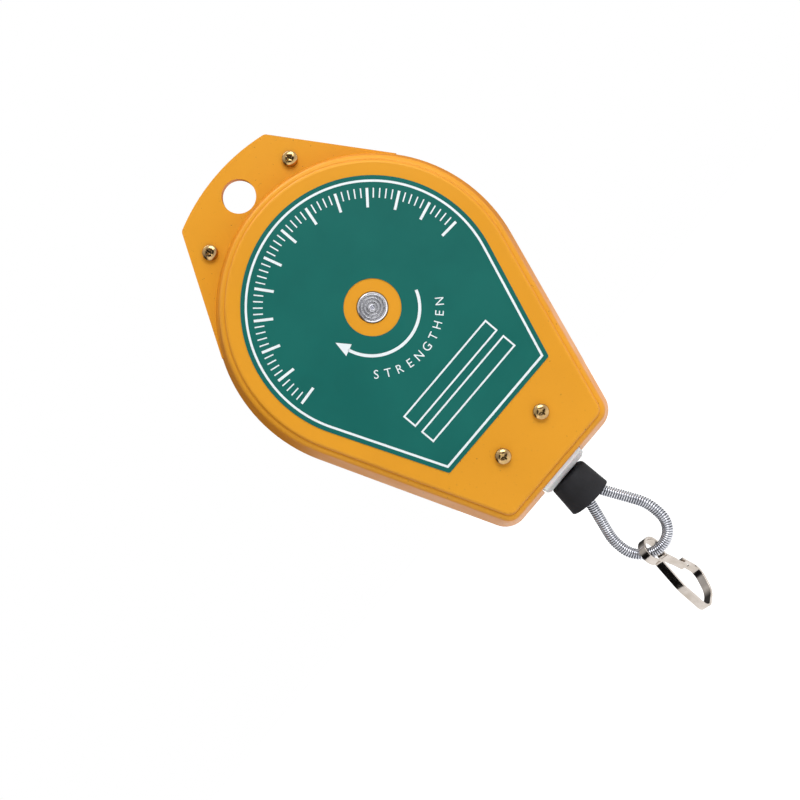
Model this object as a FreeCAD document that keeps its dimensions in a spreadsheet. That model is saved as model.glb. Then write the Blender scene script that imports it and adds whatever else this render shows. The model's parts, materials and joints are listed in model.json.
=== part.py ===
import FreeCAD, Part
import math
import os
import Sketcher
from FreeCAD import Rotation, Vector

# Small spring balancer, hanging from its ear. Millimetres and degrees. The
# origin is on the hang hole's axis in the plane where the two shells meet, with
# X to the right of the label, Y to the rear and Z up. Most pieces are drawn in
# the spindle frame, whose origin is on the spindle axis below the hang hole.

doc = FreeCAD.newDocument("tool_balancer")
sheet = doc.addObject("Spreadsheet::Sheet", "Sizes")

SIZES = [
    # casing shells
    ("case_depth", 22.0), ("sheet_thickness", 1.2), ("spindle_drop", 56.0),
    ("rim_radius", 50.4), ("side_angle", 20.0), ("bottom_drop", 79.2),
    ("rim_corner_radius", 7.5), ("wall_draft", 18.5), ("panel_step", 1.4),
    ("panel_inset", 4.8), ("panel_corner_radius", 3.4), ("shoulder_fillet", 2.0),
    ("panel_fillet", 1.2), ("ear_reach", 15.4), ("ear_half_width", 20.3),
    ("ear_corner_radius", 2.0), ("hang_hole_radius", 5.5),
    ("mouth_half_width", 8.85), ("mouth_corner", 0.6),
    # ratchet recess in the rear shell
    ("recess_radius", 20.0), ("recess_depth", 3.5), ("recess_fillet", 0.8),
    # label
    ("label_radius", 40.5), ("label_side_angle", 21.5), ("label_drop", 50.9),
    ("label_corner_radius", 0.8), ("label_hole_radius", 8.9), ("label_thickness", 0.2),
    # screws and nuts
    ("screw_radius", 1.25), ("screw_gap", 0.15), ("head_radius", 2.5),
    ("head_height", 1.9), ("head_crown", 0.7), ("cross_length", 2.7),
    ("cross_width", 0.6), ("cross_depth", 1.0), ("nut_flats", 5.0),
    ("nut_height", 2.0), ("thread_end", 0.7), ("ear_screw_spread", 19.5),
    ("ear_screw_reach", 0.8), ("case_screw_spread", 8.95), ("case_screw_drop", 60.0),
    # guide block
    ("block_side_gap", 0.4), ("block_face_gap", 0.2), ("block_stand", 0.45),
    ("block_head_half_width", 12.3), ("block_head_low", 66.5), ("block_head_high", 56.5),
    ("block_corner", 1.0), ("block_flat_half_depth", 4.6), ("block_slope", 2.2),
    ("rope_bore_gap", 0.2), ("funnel_half_depth", 2.7), ("bend_drop", 70.5),
    # spindle and its bearings
    ("journal_radius", 4.7), ("running_gap", 0.05), ("shell_hole_gap", 0.25),
    ("journal_proud", 0.8), ("arbor_radius", 6.0), ("arbor_gap", 0.2),
    ("stub_radius", 4.0), ("stub_flat", 3.3), ("stub_proud", 0.6),
    ("key_flats", 4.0), ("key_depth", 5.0), ("centre_radius", 0.9), ("centre_depth", 1.0),
    ("bush_wall", 1.6), ("bush_flange_radius", 8.6), ("bush_flange", 1.0),
    ("washer_radius", 7.4), ("washer_thickness", 0.4), ("washer_gap", 0.1),
    # ratchet
    ("ratchet_teeth", 12), ("ratchet_tip_radius", 10.2), ("ratchet_root_radius", 8.2),
    ("ratchet_thickness", 2.0), ("ratchet_gap", 0.2), ("clip_groove", 0.7),
    ("clip_thickness", 0.6), ("clip_radius", 5.6), ("clip_mouth", 2.4),
    ("pawl_reach", 10.5), ("pawl_rise", 3.8), ("pawl_boss_radius", 2.6),
    ("pawl_pin_radius", 1.5), ("pawl_pin_head_radius", 2.3), ("pawl_pin_head", 0.6),
    ("pawl_thickness", 1.8), ("pawl_toe_gap", 0.12), ("pawl_toe", 1.5),
    ("pawl_back", 2.0), ("pawl_clear_length", 5.5), ("pawl_slope", 25.0), ("post_radius", 1.1), ("post_spread", 2.0), ("post_rise", 16.2),
    ("leaf_thickness", 0.35), ("leaf_width", 1.5), ("leaf_gap", 0.15), ("leaf_sag", 0.9),
    # drum
    ("drum_wall", 3.0), ("rope_radius", 1.0), ("rope_pitch", 2.1), ("rope_turns", 5),
    ("drum_side_gap", 0.7), ("flange_height", 3.5), ("flange_thickness", 0.9),
    ("spring_case_radius", 30.0), ("rear_washer_gap", 0.2), ("web_thickness", 1.2),
    ("hub_radius", 8.8), ("hub_rise", 0.3), ("cover_seat", 0.9), ("cover_hub_rise", 0.7),
    ("cover_thickness", 1.0), ("front_neck", 0.9), ("anchor_radius", 1.6),
    ("anchor_length", 1.6), ("anchor_angle", 35.0),
    # main spring
    ("spring_turns", 8), ("spring_thickness", 0.6), ("spring_end_gap", 0.15),
    ("spring_cover_gap", 0.9), ("spring_web_gap", 0.5),
    # rope end
    ("lead_in", 0.06), ("bend_radius", 6.0), ("tail_top_drop", 75.0),
    ("buffer_gap", 0.8), ("buffer_top_radius", 6.65), ("buffer_bottom_radius", 7.5),
    ("buffer_height", 10.45), ("buffer_tilt", 4.0), ("buffer_fillet", 1.5), ("buffer_bore_gap", 0.15),
    ("ferrule_radius", 2.6), ("ferrule_high", 83.2), ("ferrule_low", 88.5),
    # loop
    ("loop_yaw", 20.0), ("leg_left", -0.64), ("leg_right", 1.98), ("loop_offset", 1.75),
    ("loop_drop", 109.8), ("loop_radius", 8.4), ("loop_shoulder_radius", 14.0),
    ("loop_straight", 1.5), ("loop_end", 0.5), ("sleeve_radius", 1.8), ("sleeve_wall", 0.65),
    ("sleeve_high", 90.2),
    # snap hook
    ("hook_yaw", 50.0), ("hook_place", -1.1), ("hook_hang", -0.55), ("hook_shift", 0.1),
    ("strip_thickness", 0.8), ("strip_width", 3.0), ("eye_radius", 3.95), ("neck_radius", 1.0), ("gate_split", 0.12),
    ("gate_length", 8.7), ("gate_taper", 0.2), ("slot_width", 1.0), ("slot_length", 2.8), ("slot_inset", 0.7),
]


class Size:
    """A length or angle: its value and the spreadsheet expression that gives it."""

    def __init__(self, value, text=None):
        self.value = float(value)
        self.text = repr(float(value)) if text is None else text

    def __add__(self, other):
        other = as_size(other)
        return Size(self.value + other.value, "(%s + %s)" % (self.text, other.text))

    def __sub__(self, other):
        other = as_size(other)
        return Size(self.value - other.value, "(%s - %s)" % (self.text, other.text))

    def __rsub__(self, other):
        return as_size(other) - self

    def __mul__(self, other):
        other = as_size(other)
        return Size(self.value * other.value, "(%s * %s)" % (self.text, other.text))

    def __truediv__(self, other):
        other = as_size(other)
        return Size(self.value / other.value, "(%s / %s)" % (self.text, other.text))

    def __neg__(self):
        return Size(-self.value, "(0 - %s)" % self.text)


def as_size(number):
    """Return a Size for a Size or a plain number."""
    return number if isinstance(number, Size) else Size(number)


def cosine(angle):
    return Size(math.cos(math.radians(angle.value)), "cos(%s)" % angle.text)


def sine(angle):
    return Size(math.sin(math.radians(angle.value)), "sin(%s)" % angle.text)


def tangent(angle):
    return Size(math.tan(math.radians(angle.value)), "tan(%s)" % angle.text)


def root(number):
    return Size(math.sqrt(number.value), "sqrt(%s)" % number.text)


SIZE = {}
for row, (alias, number) in enumerate(SIZES, start=1):
    sheet.set("A%d" % row, alias)
    sheet.set("B%d" % row, repr(number))
    sheet.setAlias("B%d" % row, alias)
    SIZE[alias] = Size(number, "Sizes.%s" % alias)
doc.recompute()


def size(alias):
    """The Size of a spreadsheet alias."""
    return SIZE[alias]


def mm(alias):
    """The plain number behind a spreadsheet alias, read from the sheet."""
    return float(sheet.get(alias))


ZERO = Size(0.0)
HALF_DEPTH = size("case_depth") / 2
EAR_RADIUS = size("rim_radius") + size("ear_reach")
EAR_SCREW_RISE = size("rim_radius") + size("ear_screw_reach")
WIND_RADIUS = size("spring_case_radius") + size("drum_wall")
FLANGE_RADIUS = WIND_RADIUS + size("flange_height")
NODES = {}


# ---------------------------------------------------------------- drawing helpers

def bind(item, name, amount):
    """Tie one property of an object to a Size."""
    item.setExpression(name, as_size(amount).text)


def new_body(label, frame_drop=size("spindle_drop")):
    """Start a PartDesign body whose frame hangs frame_drop below the origin."""
    body = doc.addObject("PartDesign::Body", label)
    body.Label = label
    bind(body, "Placement.Base.z", -frame_drop)
    return body


def new_sketch(body, name, role="XZ_Plane", lift=None):
    """Attach a sketch to one of the body's own planes, lifted along its normal."""
    sketch = body.newObject("Sketcher::SketchObject", body.Label + "_" + name)
    datum = [item for item in body.Origin.OriginFeatures if item.Role == role][0]
    sketch.AttachmentSupport = (datum, [""])
    sketch.MapMode = "FlatFace"
    if lift is not None:
        bind(sketch, "AttachmentOffset.Base.z", lift)
    return sketch


def constrain(sketch, *terms):
    """Add a constraint; a Size as its last term is bound to the sheet."""
    if isinstance(terms[-1], Size):
        index = sketch.addConstraint(Sketcher.Constraint(*terms[:-1], terms[-1].value))
        sketch.setExpression("Constraints[%d]" % index, terms[-1].text)
    else:
        sketch.addConstraint(Sketcher.Constraint(*terms))


def polygon(sketch, points):
    """Draw a closed polygon, each corner held at its own two Sizes."""
    points = [(as_size(u), as_size(v)) for u, v in points]
    first = sketch.GeometryCount
    count = len(points)
    for index, (u, v) in enumerate(points):
        after_u, after_v = points[(index + 1) % count]
        sketch.addGeometry(Part.LineSegment(Vector(u.value, v.value, 0),
                                            Vector(after_u.value, after_v.value, 0)))
    for index, (u, v) in enumerate(points):
        edge = first + index
        constrain(sketch, "Coincident", edge, 2, first + (index + 1) % count, 1)
        constrain(sketch, "DistanceX", -1, 1, edge, 1, u)
        constrain(sketch, "DistanceY", -1, 1, edge, 1, v)
    return sketch


def circle(sketch, radius, u=ZERO, v=ZERO):
    """Draw a circle of the given radius at (u, v)."""
    radius, u, v = as_size(radius), as_size(u), as_size(v)
    edge = sketch.GeometryCount
    sketch.addGeometry(Part.Circle(Vector(u.value, v.value, 0), Vector(0, 0, 1), radius.value))
    constrain(sketch, "DistanceX", -1, 1, edge, 3, u)
    constrain(sketch, "DistanceY", -1, 1, edge, 3, v)
    constrain(sketch, "Radius", edge, radius)
    return sketch


def teardrop(sketch, radius, angle, drop, corner):
    """Draw a circle about the origin run into straight sides and a flat bottom.

    The sides touch the circle and close by angle from the vertical; the two
    lower corners are rounded by corner.
    """
    slope = math.radians(angle.value)
    touch = Vector(radius.value * math.cos(slope), -radius.value * math.sin(slope), 0)
    low = -drop.value
    inner = radius.value - corner.value
    centre_x = (inner - (drop.value - corner.value) * math.sin(slope)) / math.cos(slope)
    centre = Vector(centre_x, low + corner.value, 0)
    side_end = centre + Vector(corner.value * math.cos(slope), -corner.value * math.sin(slope), 0)

    def mirrored(point):
        return Vector(-point.x, point.y, 0)

    def round_arc(middle, amount, begin, end):
        return Part.ArcOfCircle(Part.Circle(middle, Vector(0, 0, 1), amount), begin, end)

    first = sketch.GeometryCount
    sketch.addGeometry(round_arc(Vector(), radius.value, -slope, math.pi + slope))
    sketch.addGeometry(Part.LineSegment(mirrored(touch), mirrored(side_end)))
    sketch.addGeometry(round_arc(mirrored(centre), corner.value, math.pi + slope, 1.5 * math.pi))
    sketch.addGeometry(Part.LineSegment(Vector(-centre.x, low, 0), Vector(centre.x, low, 0)))
    sketch.addGeometry(round_arc(centre, corner.value, -math.pi / 2, -slope))
    sketch.addGeometry(Part.LineSegment(side_end, touch))
    for here, end, there, begin in ((0, 2, 1, 1), (1, 2, 2, 1), (2, 2, 3, 1),
                                    (3, 2, 4, 1), (4, 2, 5, 1), (5, 2, 0, 1)):
        constrain(sketch, "Tangent", first + here, end, first + there, begin)
    constrain(sketch, "Coincident", first, 3, -1, 1)
    constrain(sketch, "Radius", first, radius)
    constrain(sketch, "Radius", first + 2, corner)
    constrain(sketch, "Radius", first + 4, corner)
    constrain(sketch, "DistanceY", -1, 1, first + 3, 1, -drop)
    constrain(sketch, "Angle", first + 5, 1, -2, 1, angle)
    constrain(sketch, "Symmetric", first + 3, 1, first + 3, 2, -2)
    return sketch


def pad(sketch, length, rear=False, both=False, taper=None):
    """Pad a sketch towards the front, or to the rear, or both ways."""
    body = sketch.getParentGeoFeatureGroup()
    feature = body.newObject("PartDesign::Pad", sketch.Label + "_pad")
    feature.Profile = sketch
    feature.Reversed = rear
    feature.Midplane = both
    bind(feature, "Length", length)
    if taper is not None:
        bind(feature, "TaperAngle", taper)
    sketch.Visibility = False
    return feature


def pocket(sketch, length, rear=False, both=False, taper=None):
    """Pocket a sketch towards the front, or to the rear, or both ways."""
    body = sketch.getParentGeoFeatureGroup()
    before = body.Tip
    feature = body.newObject("PartDesign::Pocket", sketch.Label + "_pocket")
    feature.Profile = sketch
    feature.Reversed = not rear
    feature.Midplane = both
    bind(feature, "Length", length)
    if taper is not None:
        bind(feature, "TaperAngle", taper)
    doc.recompute()
    if feature.Shape.Volume >= before.Shape.Volume:
        raise RuntimeError("%s cuts nothing" % feature.Label)
    return feature


def revolve(sketch, axis="V_Axis"):
    """Turn a sketch all round about one of its own axes."""
    body = sketch.getParentGeoFeatureGroup()
    feature = body.newObject("PartDesign::Revolution", sketch.Label + "_turn")
    feature.Profile = sketch
    feature.ReferenceAxis = (sketch, [axis])
    feature.Angle = 360
    return feature


def round_edges(body, name, radius, test, kind="Fillet"):
    """Fillet or chamfer the edges of the body's tip whose points pass a test."""
    doc.recompute()
    base = body.Tip
    names = ["Edge%d" % (index + 1) for index, edge in enumerate(base.Shape.Edges)
             if all(test(vertex.Point) for vertex in edge.Vertexes)
             and test(edge.valueAt((edge.FirstParameter + edge.LastParameter) / 2))]
    feature = body.newObject("PartDesign::" + kind, body.Label + "_" + name)
    feature.Base = (base, names)
    bind(feature, "Radius" if kind == "Fillet" else "Size", radius)
    return feature


def near(number, target, slack=0.01):
    return abs(number - target) < slack


def revolved_node(label, points, role="XY_Plane"):
    """A node turned about the spindle (XY_Plane) or the rope's line (XZ_Plane)."""
    body = new_body(label)
    revolve(polygon(new_sketch(body, "section", role), points))
    NODES[label] = body
    return body


def shaped_node(label, shape, drop=None, yaw=None, base=None):
    """A node whose shape is worked out in code, placed by its Placement."""
    feature = doc.addObject("Part::Feature", label)
    feature.Label = label
    feature.Shape = shape
    if base is not None:
        feature.Placement = FreeCAD.Placement(base, Rotation(Vector(0, 0, 1), yaw))
    else:
        feature.Placement = FreeCAD.Placement(Vector(0, 0, -drop), Rotation(Vector(0, 0, 1), yaw or 0))
    NODES[label] = feature
    return feature


# ---------------------------------------------------------------- casing shells

WALL_ACROSS = size("sheet_thickness") / cosine(size("wall_draft"))
SHOULDER_DEPTH = HALF_DEPTH - size("panel_step")
INNER_SHOULDER = SHOULDER_DEPTH - size("sheet_thickness")
INNER_FACE = HALF_DEPTH - size("sheet_thickness")
SCREW_HOLE = size("screw_radius") + size("screw_gap")
SHELL_HOLE = size("journal_radius") + size("shell_hole_gap")


def case_outline(sketch, inset, corner):
    """The casing's teardrop, moved in by inset all round."""
    return teardrop(sketch, size("rim_radius") - inset, size("side_angle"),
                    size("bottom_drop") - inset, corner)


def ear_outline(sketch):
    """The hanging ear: an arc about the spindle and sides that touch the rim."""
    ear, rim, half = EAR_RADIUS, size("rim_radius"), size("ear_half_width")
    top = root(ear * ear - half * half)
    lean = Size(math.degrees(math.atan2(top.value, half.value) - math.acos(rim.value / ear.value)),
                "(atan(%s / %s) - acos(%s / %s))" % (top.text, half.text, rim.text, ear.text))
    touch_x, touch_z = rim * cosine(lean), rim * sine(lean)
    corners = [(half, top), (-half, top), (-touch_x, touch_z), (touch_x, touch_z)]
    points = [Vector(u.value, v.value, 0) for u, v in corners]
    sketch.addGeometry(Part.Arc(points[0], Vector(0, ear.value, 0), points[1]))
    for begin, end in ((1, 2), (2, 3), (3, 0)):
        sketch.addGeometry(Part.LineSegment(points[begin], points[end]))
    constrain(sketch, "Coincident", 0, 3, -1, 1)
    constrain(sketch, "Coincident", 0, 2, 1, 1)
    constrain(sketch, "Coincident", 1, 2, 2, 1)
    constrain(sketch, "Coincident", 2, 2, 3, 1)
    constrain(sketch, "Coincident", 3, 2, 0, 1)
    constrain(sketch, "Radius", 0, ear)
    constrain(sketch, "DistanceX", -1, 1, 0, 1, half)
    constrain(sketch, "DistanceX", -1, 1, 0, 2, -half)
    for edge, (u, v) in ((2, corners[2]), (3, corners[3])):
        constrain(sketch, "DistanceX", -1, 1, edge, 1, u)
        constrain(sketch, "DistanceY", -1, 1, edge, 1, v)
    return sketch


def add_shell(label, rear):
    """One pressed half of the casing, drawn from the parting plane outwards."""
    side = 1 if rear else -1
    thickness = size("sheet_thickness")
    body = new_body(label)
    cup = case_outline(new_sketch(body, "cup"), ZERO, size("rim_corner_radius"))
    pad(cup, SHOULDER_DEPTH, rear, taper=-size("wall_draft"))
    shoulder = side * SHOULDER_DEPTH.value
    round_edges(body, "shoulder", size("shoulder_fillet"), lambda p: near(p.y, shoulder))
    panel = case_outline(new_sketch(body, "panel"), size("panel_inset"), size("panel_corner_radius"))
    pad(panel, HALF_DEPTH, rear)
    face = side * HALF_DEPTH.value
    round_edges(body, "face_edge", size("panel_fillet"), lambda p: near(p.y, face))
    pad(ear_outline(new_sketch(body, "ear")), thickness, rear)
    ear_edge = size("ear_half_width").value
    round_edges(body, "ear_corner", size("ear_corner_radius"),
                lambda p: near(abs(p.x), ear_edge) and p.z > size("rim_radius").value
                and abs(p.y) <= thickness.value + 0.01)
    hollow = case_outline(new_sketch(body, "hollow"), WALL_ACROSS,
                          size("rim_corner_radius") - WALL_ACROSS)
    pocket(hollow, INNER_SHOULDER, rear, taper=-size("wall_draft"))
    deep = case_outline(new_sketch(body, "deep_hollow"), size("panel_inset") + thickness,
                        size("panel_corner_radius") - thickness)
    pocket(deep, INNER_FACE, rear)
    mouth = size("mouth_half_width")
    notch = new_sketch(body, "mouth")
    low = -(size("bottom_drop") + 2)
    high = -(size("bottom_drop") - size("rim_corner_radius"))
    polygon(notch, [(-mouth, low), (mouth, low), (mouth, high), (-mouth, high)])
    pocket(notch, INNER_SHOULDER, rear)
    if rear:
        add_recess(body)
    holes = new_sketch(body, "holes")
    circle(holes, size("hang_hole_radius"), ZERO, size("spindle_drop"))
    centre = SHELL_HOLE
    if rear:
        centre = size("journal_radius") + size("running_gap") + size("bush_wall")
    circle(holes, centre)
    for sign in (-1, 1):
        circle(holes, SCREW_HOLE, size("ear_screw_spread") * sign, EAR_SCREW_RISE)
        circle(holes, SCREW_HOLE, size("case_screw_spread") * sign, -size("case_screw_drop"))
    pocket(holes, size("case_depth"), rear)
    NODES[label] = body


def add_recess(body):
    """Dish the rear face in to take the ratchet and its pawl."""
    floor = HALF_DEPTH - size("recess_depth")
    dish = new_sketch(body, "dish", lift=-(floor - size("sheet_thickness")))
    circle(dish, size("recess_radius") + size("sheet_thickness"))
    pad(dish, size("recess_depth"), rear=True)
    sink = new_sketch(body, "sink", lift=-floor)
    circle(sink, size("recess_radius"))
    pocket(sink, size("recess_depth") + 1, rear=True)
    face, lip = HALF_DEPTH.value, size("recess_radius").value
    round_edges(body, "recess_lip", size("recess_fillet"),
                lambda p: near(p.y, face) and near(math.hypot(p.x, p.z), lip))


add_shell("front_shell", rear=False)
add_shell("rear_shell", rear=True)

label = new_body("face_label")
plate = new_sketch(label, "plate", lift=HALF_DEPTH)
teardrop(plate, size("label_radius"), size("label_side_angle"), size("label_drop"),
         size("label_corner_radius"))
circle(plate, size("label_hole_radius"))
pad(plate, size("label_thickness"))
NODES["face_label"] = label


# ---------------------------------------------------------------- guide block

def add_guide_block():
    """The nylon block in the mouth, held by the two long screws."""
    body = new_body("guide_block")
    stem = size("mouth_half_width") - size("block_side_gap")
    low = -(size("bottom_drop") + size("block_stand"))
    corner = size("block_corner")
    head_low, head_high = -size("block_head_low"), -size("block_head_high")
    head = size("block_head_half_width")
    front = new_sketch(body, "stem")
    polygon(front, [(-stem, low + corner), (corner - stem, low), (stem - corner, low),
                    (stem, low + corner), (stem, head_low), (-stem, head_low)])
    pad(front, (INNER_SHOULDER - size("block_face_gap")) * 2, both=True)
    shoulders = new_sketch(body, "head")
    polygon(shoulders, [(-head, head_low), (head, head_low), (head, head_high), (-head, head_high)])
    pad(shoulders, INNER_FACE * 2, both=True)
    flat, deep = size("block_flat_half_depth"), INNER_SHOULDER
    for sign in (-1, 1):
        slope = new_sketch(body, "slope_front" if sign < 0 else "slope_rear", "YZ_Plane")
        polygon(slope, [(flat * sign, low), (flat * sign, low - 1), (deep * sign, low - 1),
                        (deep * sign, low + size("block_slope"))])
        pocket(slope, stem * 2 + 2, both=True)
    bore = size("rope_radius") + size("rope_bore_gap")
    passage = circle(new_sketch(body, "bore", "XY_Plane"), bore)
    pocket(passage, -low + 1, rear=True)
    wall = bore * 1.15
    lean = (WIND_RADIUS / size("bend_drop")) * 1.2
    reach = (size("bend_drop") - size("block_head_high")) * lean
    floor, top = -(size("bend_drop") + 1), head_high + 1
    funnel = new_sketch(body, "funnel")
    polygon(funnel, [(-wall, floor), (wall, floor), (wall, floor + 4), (wall - reach + 1, top),
                     (-wall - reach, top)])
    pocket(funnel, size("funnel_half_depth") * 2, both=True)
    screws = new_sketch(body, "screw_holes")
    for sign in (-1, 1):
        circle(screws, SCREW_HOLE, size("case_screw_spread") * sign, -size("case_screw_drop"))
    pocket(screws, size("case_depth"), both=True)
    NODES["guide_block"] = body


add_guide_block()


# ---------------------------------------------------------------- screws and nuts

def screw(label, spread, rise, seat, length):
    """A pan head screw whose head sits at depth seat on the front."""
    body = new_body(label)
    half, crown = size("screw_radius"), size("head_crown")
    top = size("head_height")
    section = new_sketch(body, "section", "XY_Plane")
    polygon(section, [(ZERO, -top), (size("head_radius") - crown * 1.6, -top),
                      (size("head_radius") - crown * 0.5, crown * 0.45 - top),
                      (size("head_radius"), crown - top), (size("head_radius"), ZERO),
                      (half, ZERO), (half, length - 0.3), (half - 0.3, length), (ZERO, length)])
    revolve(section)
    cross = new_sketch(body, "cross", lift=top)
    arm, wide = size("cross_length") / 2, size("cross_width") / 2
    polygon(cross, [(-arm, -wide), (-wide, -wide), (-wide, -arm), (wide, -arm), (wide, -wide),
                    (arm, -wide), (arm, wide), (wide, wide), (wide, arm), (-wide, arm),
                    (-wide, wide), (-arm, wide)])
    pocket(cross, size("cross_depth"), rear=True)
    for name, amount in (("x", spread), ("y", seat), ("z", rise - size("spindle_drop"))):
        bind(body, "Placement.Base." + name, amount)
    return body


def nut(label, spread, rise, seat):
    """A hexagon nut whose front face lies at depth seat."""
    body = new_body(label)
    flats = size("nut_flats") / 2
    corner = flats / cosine(Size(30.0))
    points = [(flats, corner / 2), (ZERO, corner), (-flats, corner / 2),
              (-flats, -(corner / 2)), (ZERO, -corner), (flats, -(corner / 2))]
    hexagon = circle(polygon(new_sketch(body, "hexagon"), points), size("screw_radius"))
    pad(hexagon, size("nut_height"), rear=True)
    for name, amount in (("x", spread), ("y", seat), ("z", rise - size("spindle_drop"))):
        bind(body, "Placement.Base." + name, amount)
    return body


def group(label, members):
    """One node that holds several separate solids of the same kind."""
    pair = doc.addObject("Part::Compound", label)
    pair.Label = label
    pair.Links = members
    NODES[label] = pair


EAR_SEAT = -size("sheet_thickness")
EAR_LENGTH = size("sheet_thickness") * 2 + size("nut_height") + size("thread_end")
CASE_LENGTH = size("case_depth") + size("nut_height") + size("thread_end")
ear_pair, case_pair, nuts = [], [], []
for side_name, sign in (("left", -1), ("right", 1)):
    ear_x, case_x = size("ear_screw_spread") * sign, size("case_screw_spread") * sign
    ear_z, case_z = EAR_SCREW_RISE, -size("case_screw_drop")
    ear_pair.append(screw("ear_screw_" + side_name, ear_x, ear_z, EAR_SEAT, EAR_LENGTH))
    case_pair.append(screw("case_screw_" + side_name, case_x, case_z, -HALF_DEPTH, CASE_LENGTH))
    nuts.append(nut("ear_nut_" + side_name, ear_x, ear_z, size("sheet_thickness")))
    nuts.append(nut("case_nut_" + side_name, case_x, case_z, HALF_DEPTH))
group("ear_screws", ear_pair)
group("case_screws", case_pair)
group("case_nuts", nuts)


# ---------------------------------------------------------------- spindle and bearings

JOURNAL = size("journal_radius")
BORE = JOURNAL + size("running_gap")
BUSH = BORE + size("bush_wall")
FLOOR = HALF_DEPTH - size("recess_depth")
INNER_FLOOR = FLOOR - size("sheet_thickness")
RATCHET_FRONT = FLOOR + size("bush_flange") + size("ratchet_gap")
RATCHET_REAR = RATCHET_FRONT + size("ratchet_thickness")
STUB_END = HALF_DEPTH + size("stub_proud")
FRONT_FLANGE = INNER_FACE - size("bush_flange")
COVER_HUB_FRONT = (FRONT_FLANGE - size("front_neck") - size("washer_thickness")
                   - size("washer_gap") * 2)
COVER_FRONT = COVER_HUB_FRONT - size("cover_hub_rise")
COVER_REAR = COVER_FRONT - size("cover_thickness")
SPRING_FRONT = COVER_REAR - size("spring_cover_gap")
WEB_REAR = (INNER_FLOOR - size("rear_washer_gap") - size("washer_thickness")
            - size("washer_gap") - size("hub_rise"))
WEB_FRONT = WEB_REAR - size("web_thickness")
SPRING_REAR = WEB_FRONT - size("spring_web_gap")
ARBOR_FRONT = COVER_REAR - size("arbor_gap") - 0.3

revolved_node("front_bush", [
    (BORE, -INNER_FACE), (size("bush_flange_radius"), -INNER_FACE),
    (size("bush_flange_radius"), -FRONT_FLANGE), (BUSH, -FRONT_FLANGE),
    (BUSH, -(COVER_HUB_FRONT + size("washer_thickness") + size("washer_gap") * 2)),
    (BORE, -(COVER_HUB_FRONT + size("washer_thickness") + size("washer_gap") * 2))])
revolved_node("rear_bush", [
    (BORE, INNER_FLOOR), (BUSH, INNER_FLOOR), (BUSH, FLOOR),
    (size("bush_flange_radius"), FLOOR), (size("bush_flange_radius"), FLOOR + size("bush_flange")),
    (BORE, FLOOR + size("bush_flange"))])


def washer(label, low):
    """A thrust washer whose front face lies at depth low."""
    inner, outer = JOURNAL + size("washer_gap"), size("washer_radius")
    high = low + size("washer_thickness")
    revolved_node(label, [(inner, low), (outer, low), (outer, high), (inner, high)])


washer("front_washer", -(COVER_HUB_FRONT + size("washer_thickness") + size("washer_gap")))
washer("rear_washer", WEB_REAR + size("hub_rise") + size("washer_gap"))


def add_spindle():
    """The fixed spindle: journals, spring arbor, ratchet seat and key socket."""
    front = HALF_DEPTH + size("journal_proud")
    arbor_rear = WEB_FRONT - size("arbor_gap") / 2
    seat = RATCHET_FRONT - size("ratchet_gap") / 2
    groove_front, groove_rear = RATCHET_REAR, RATCHET_REAR + size("clip_thickness")
    stub, groove = size("stub_radius"), size("stub_radius") - size("clip_groove")
    body = new_body("spindle")
    section = new_sketch(body, "section", "XY_Plane")
    polygon(section, [
        (ZERO, size("centre_depth") - front), (size("centre_radius"), -front),
        (JOURNAL - 0.4, -front), (JOURNAL, 0.4 - front), (JOURNAL, -ARBOR_FRONT),
        (size("arbor_radius"), -ARBOR_FRONT), (size("arbor_radius"), arbor_rear),
        (JOURNAL, arbor_rear), (JOURNAL, seat), (stub, seat), (stub, groove_front),
        (groove, groove_front), (groove, groove_rear), (stub, groove_rear),
        (stub, STUB_END - 0.15), (stub - 0.15, STUB_END), (ZERO, STUB_END)])
    revolve(section)
    flats = new_sketch(body, "flats", lift=-(seat + 0.001))
    for sign in (-1, 1):
        low, high = size("stub_flat") * sign, (stub + 1) * sign
        polygon(flats, [(low, -stub), (high, -stub), (high, stub), (low, stub)])
    pocket(flats, size("ratchet_thickness") + size("ratchet_gap"), rear=True)
    key = new_sketch(body, "key", lift=-STUB_END)
    flat = size("key_flats") / 2
    corner = flat / cosine(Size(30.0))
    polygon(key, [(flat, corner / 2), (ZERO, corner), (-flat, corner / 2),
                  (-flat, -(corner / 2)), (ZERO, -corner), (flat, -(corner / 2))])
    pocket(key, size("key_depth"), rear=False)
    NODES["spindle"] = body


add_spindle()


# ---------------------------------------------------------------- ratchet and pawl

def polar(radius, degrees):
    """Two Sizes for a point at radius and an angle in degrees."""
    angle = as_size(degrees)
    return as_size(radius) * cosine(angle), as_size(radius) * sine(angle)


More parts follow.
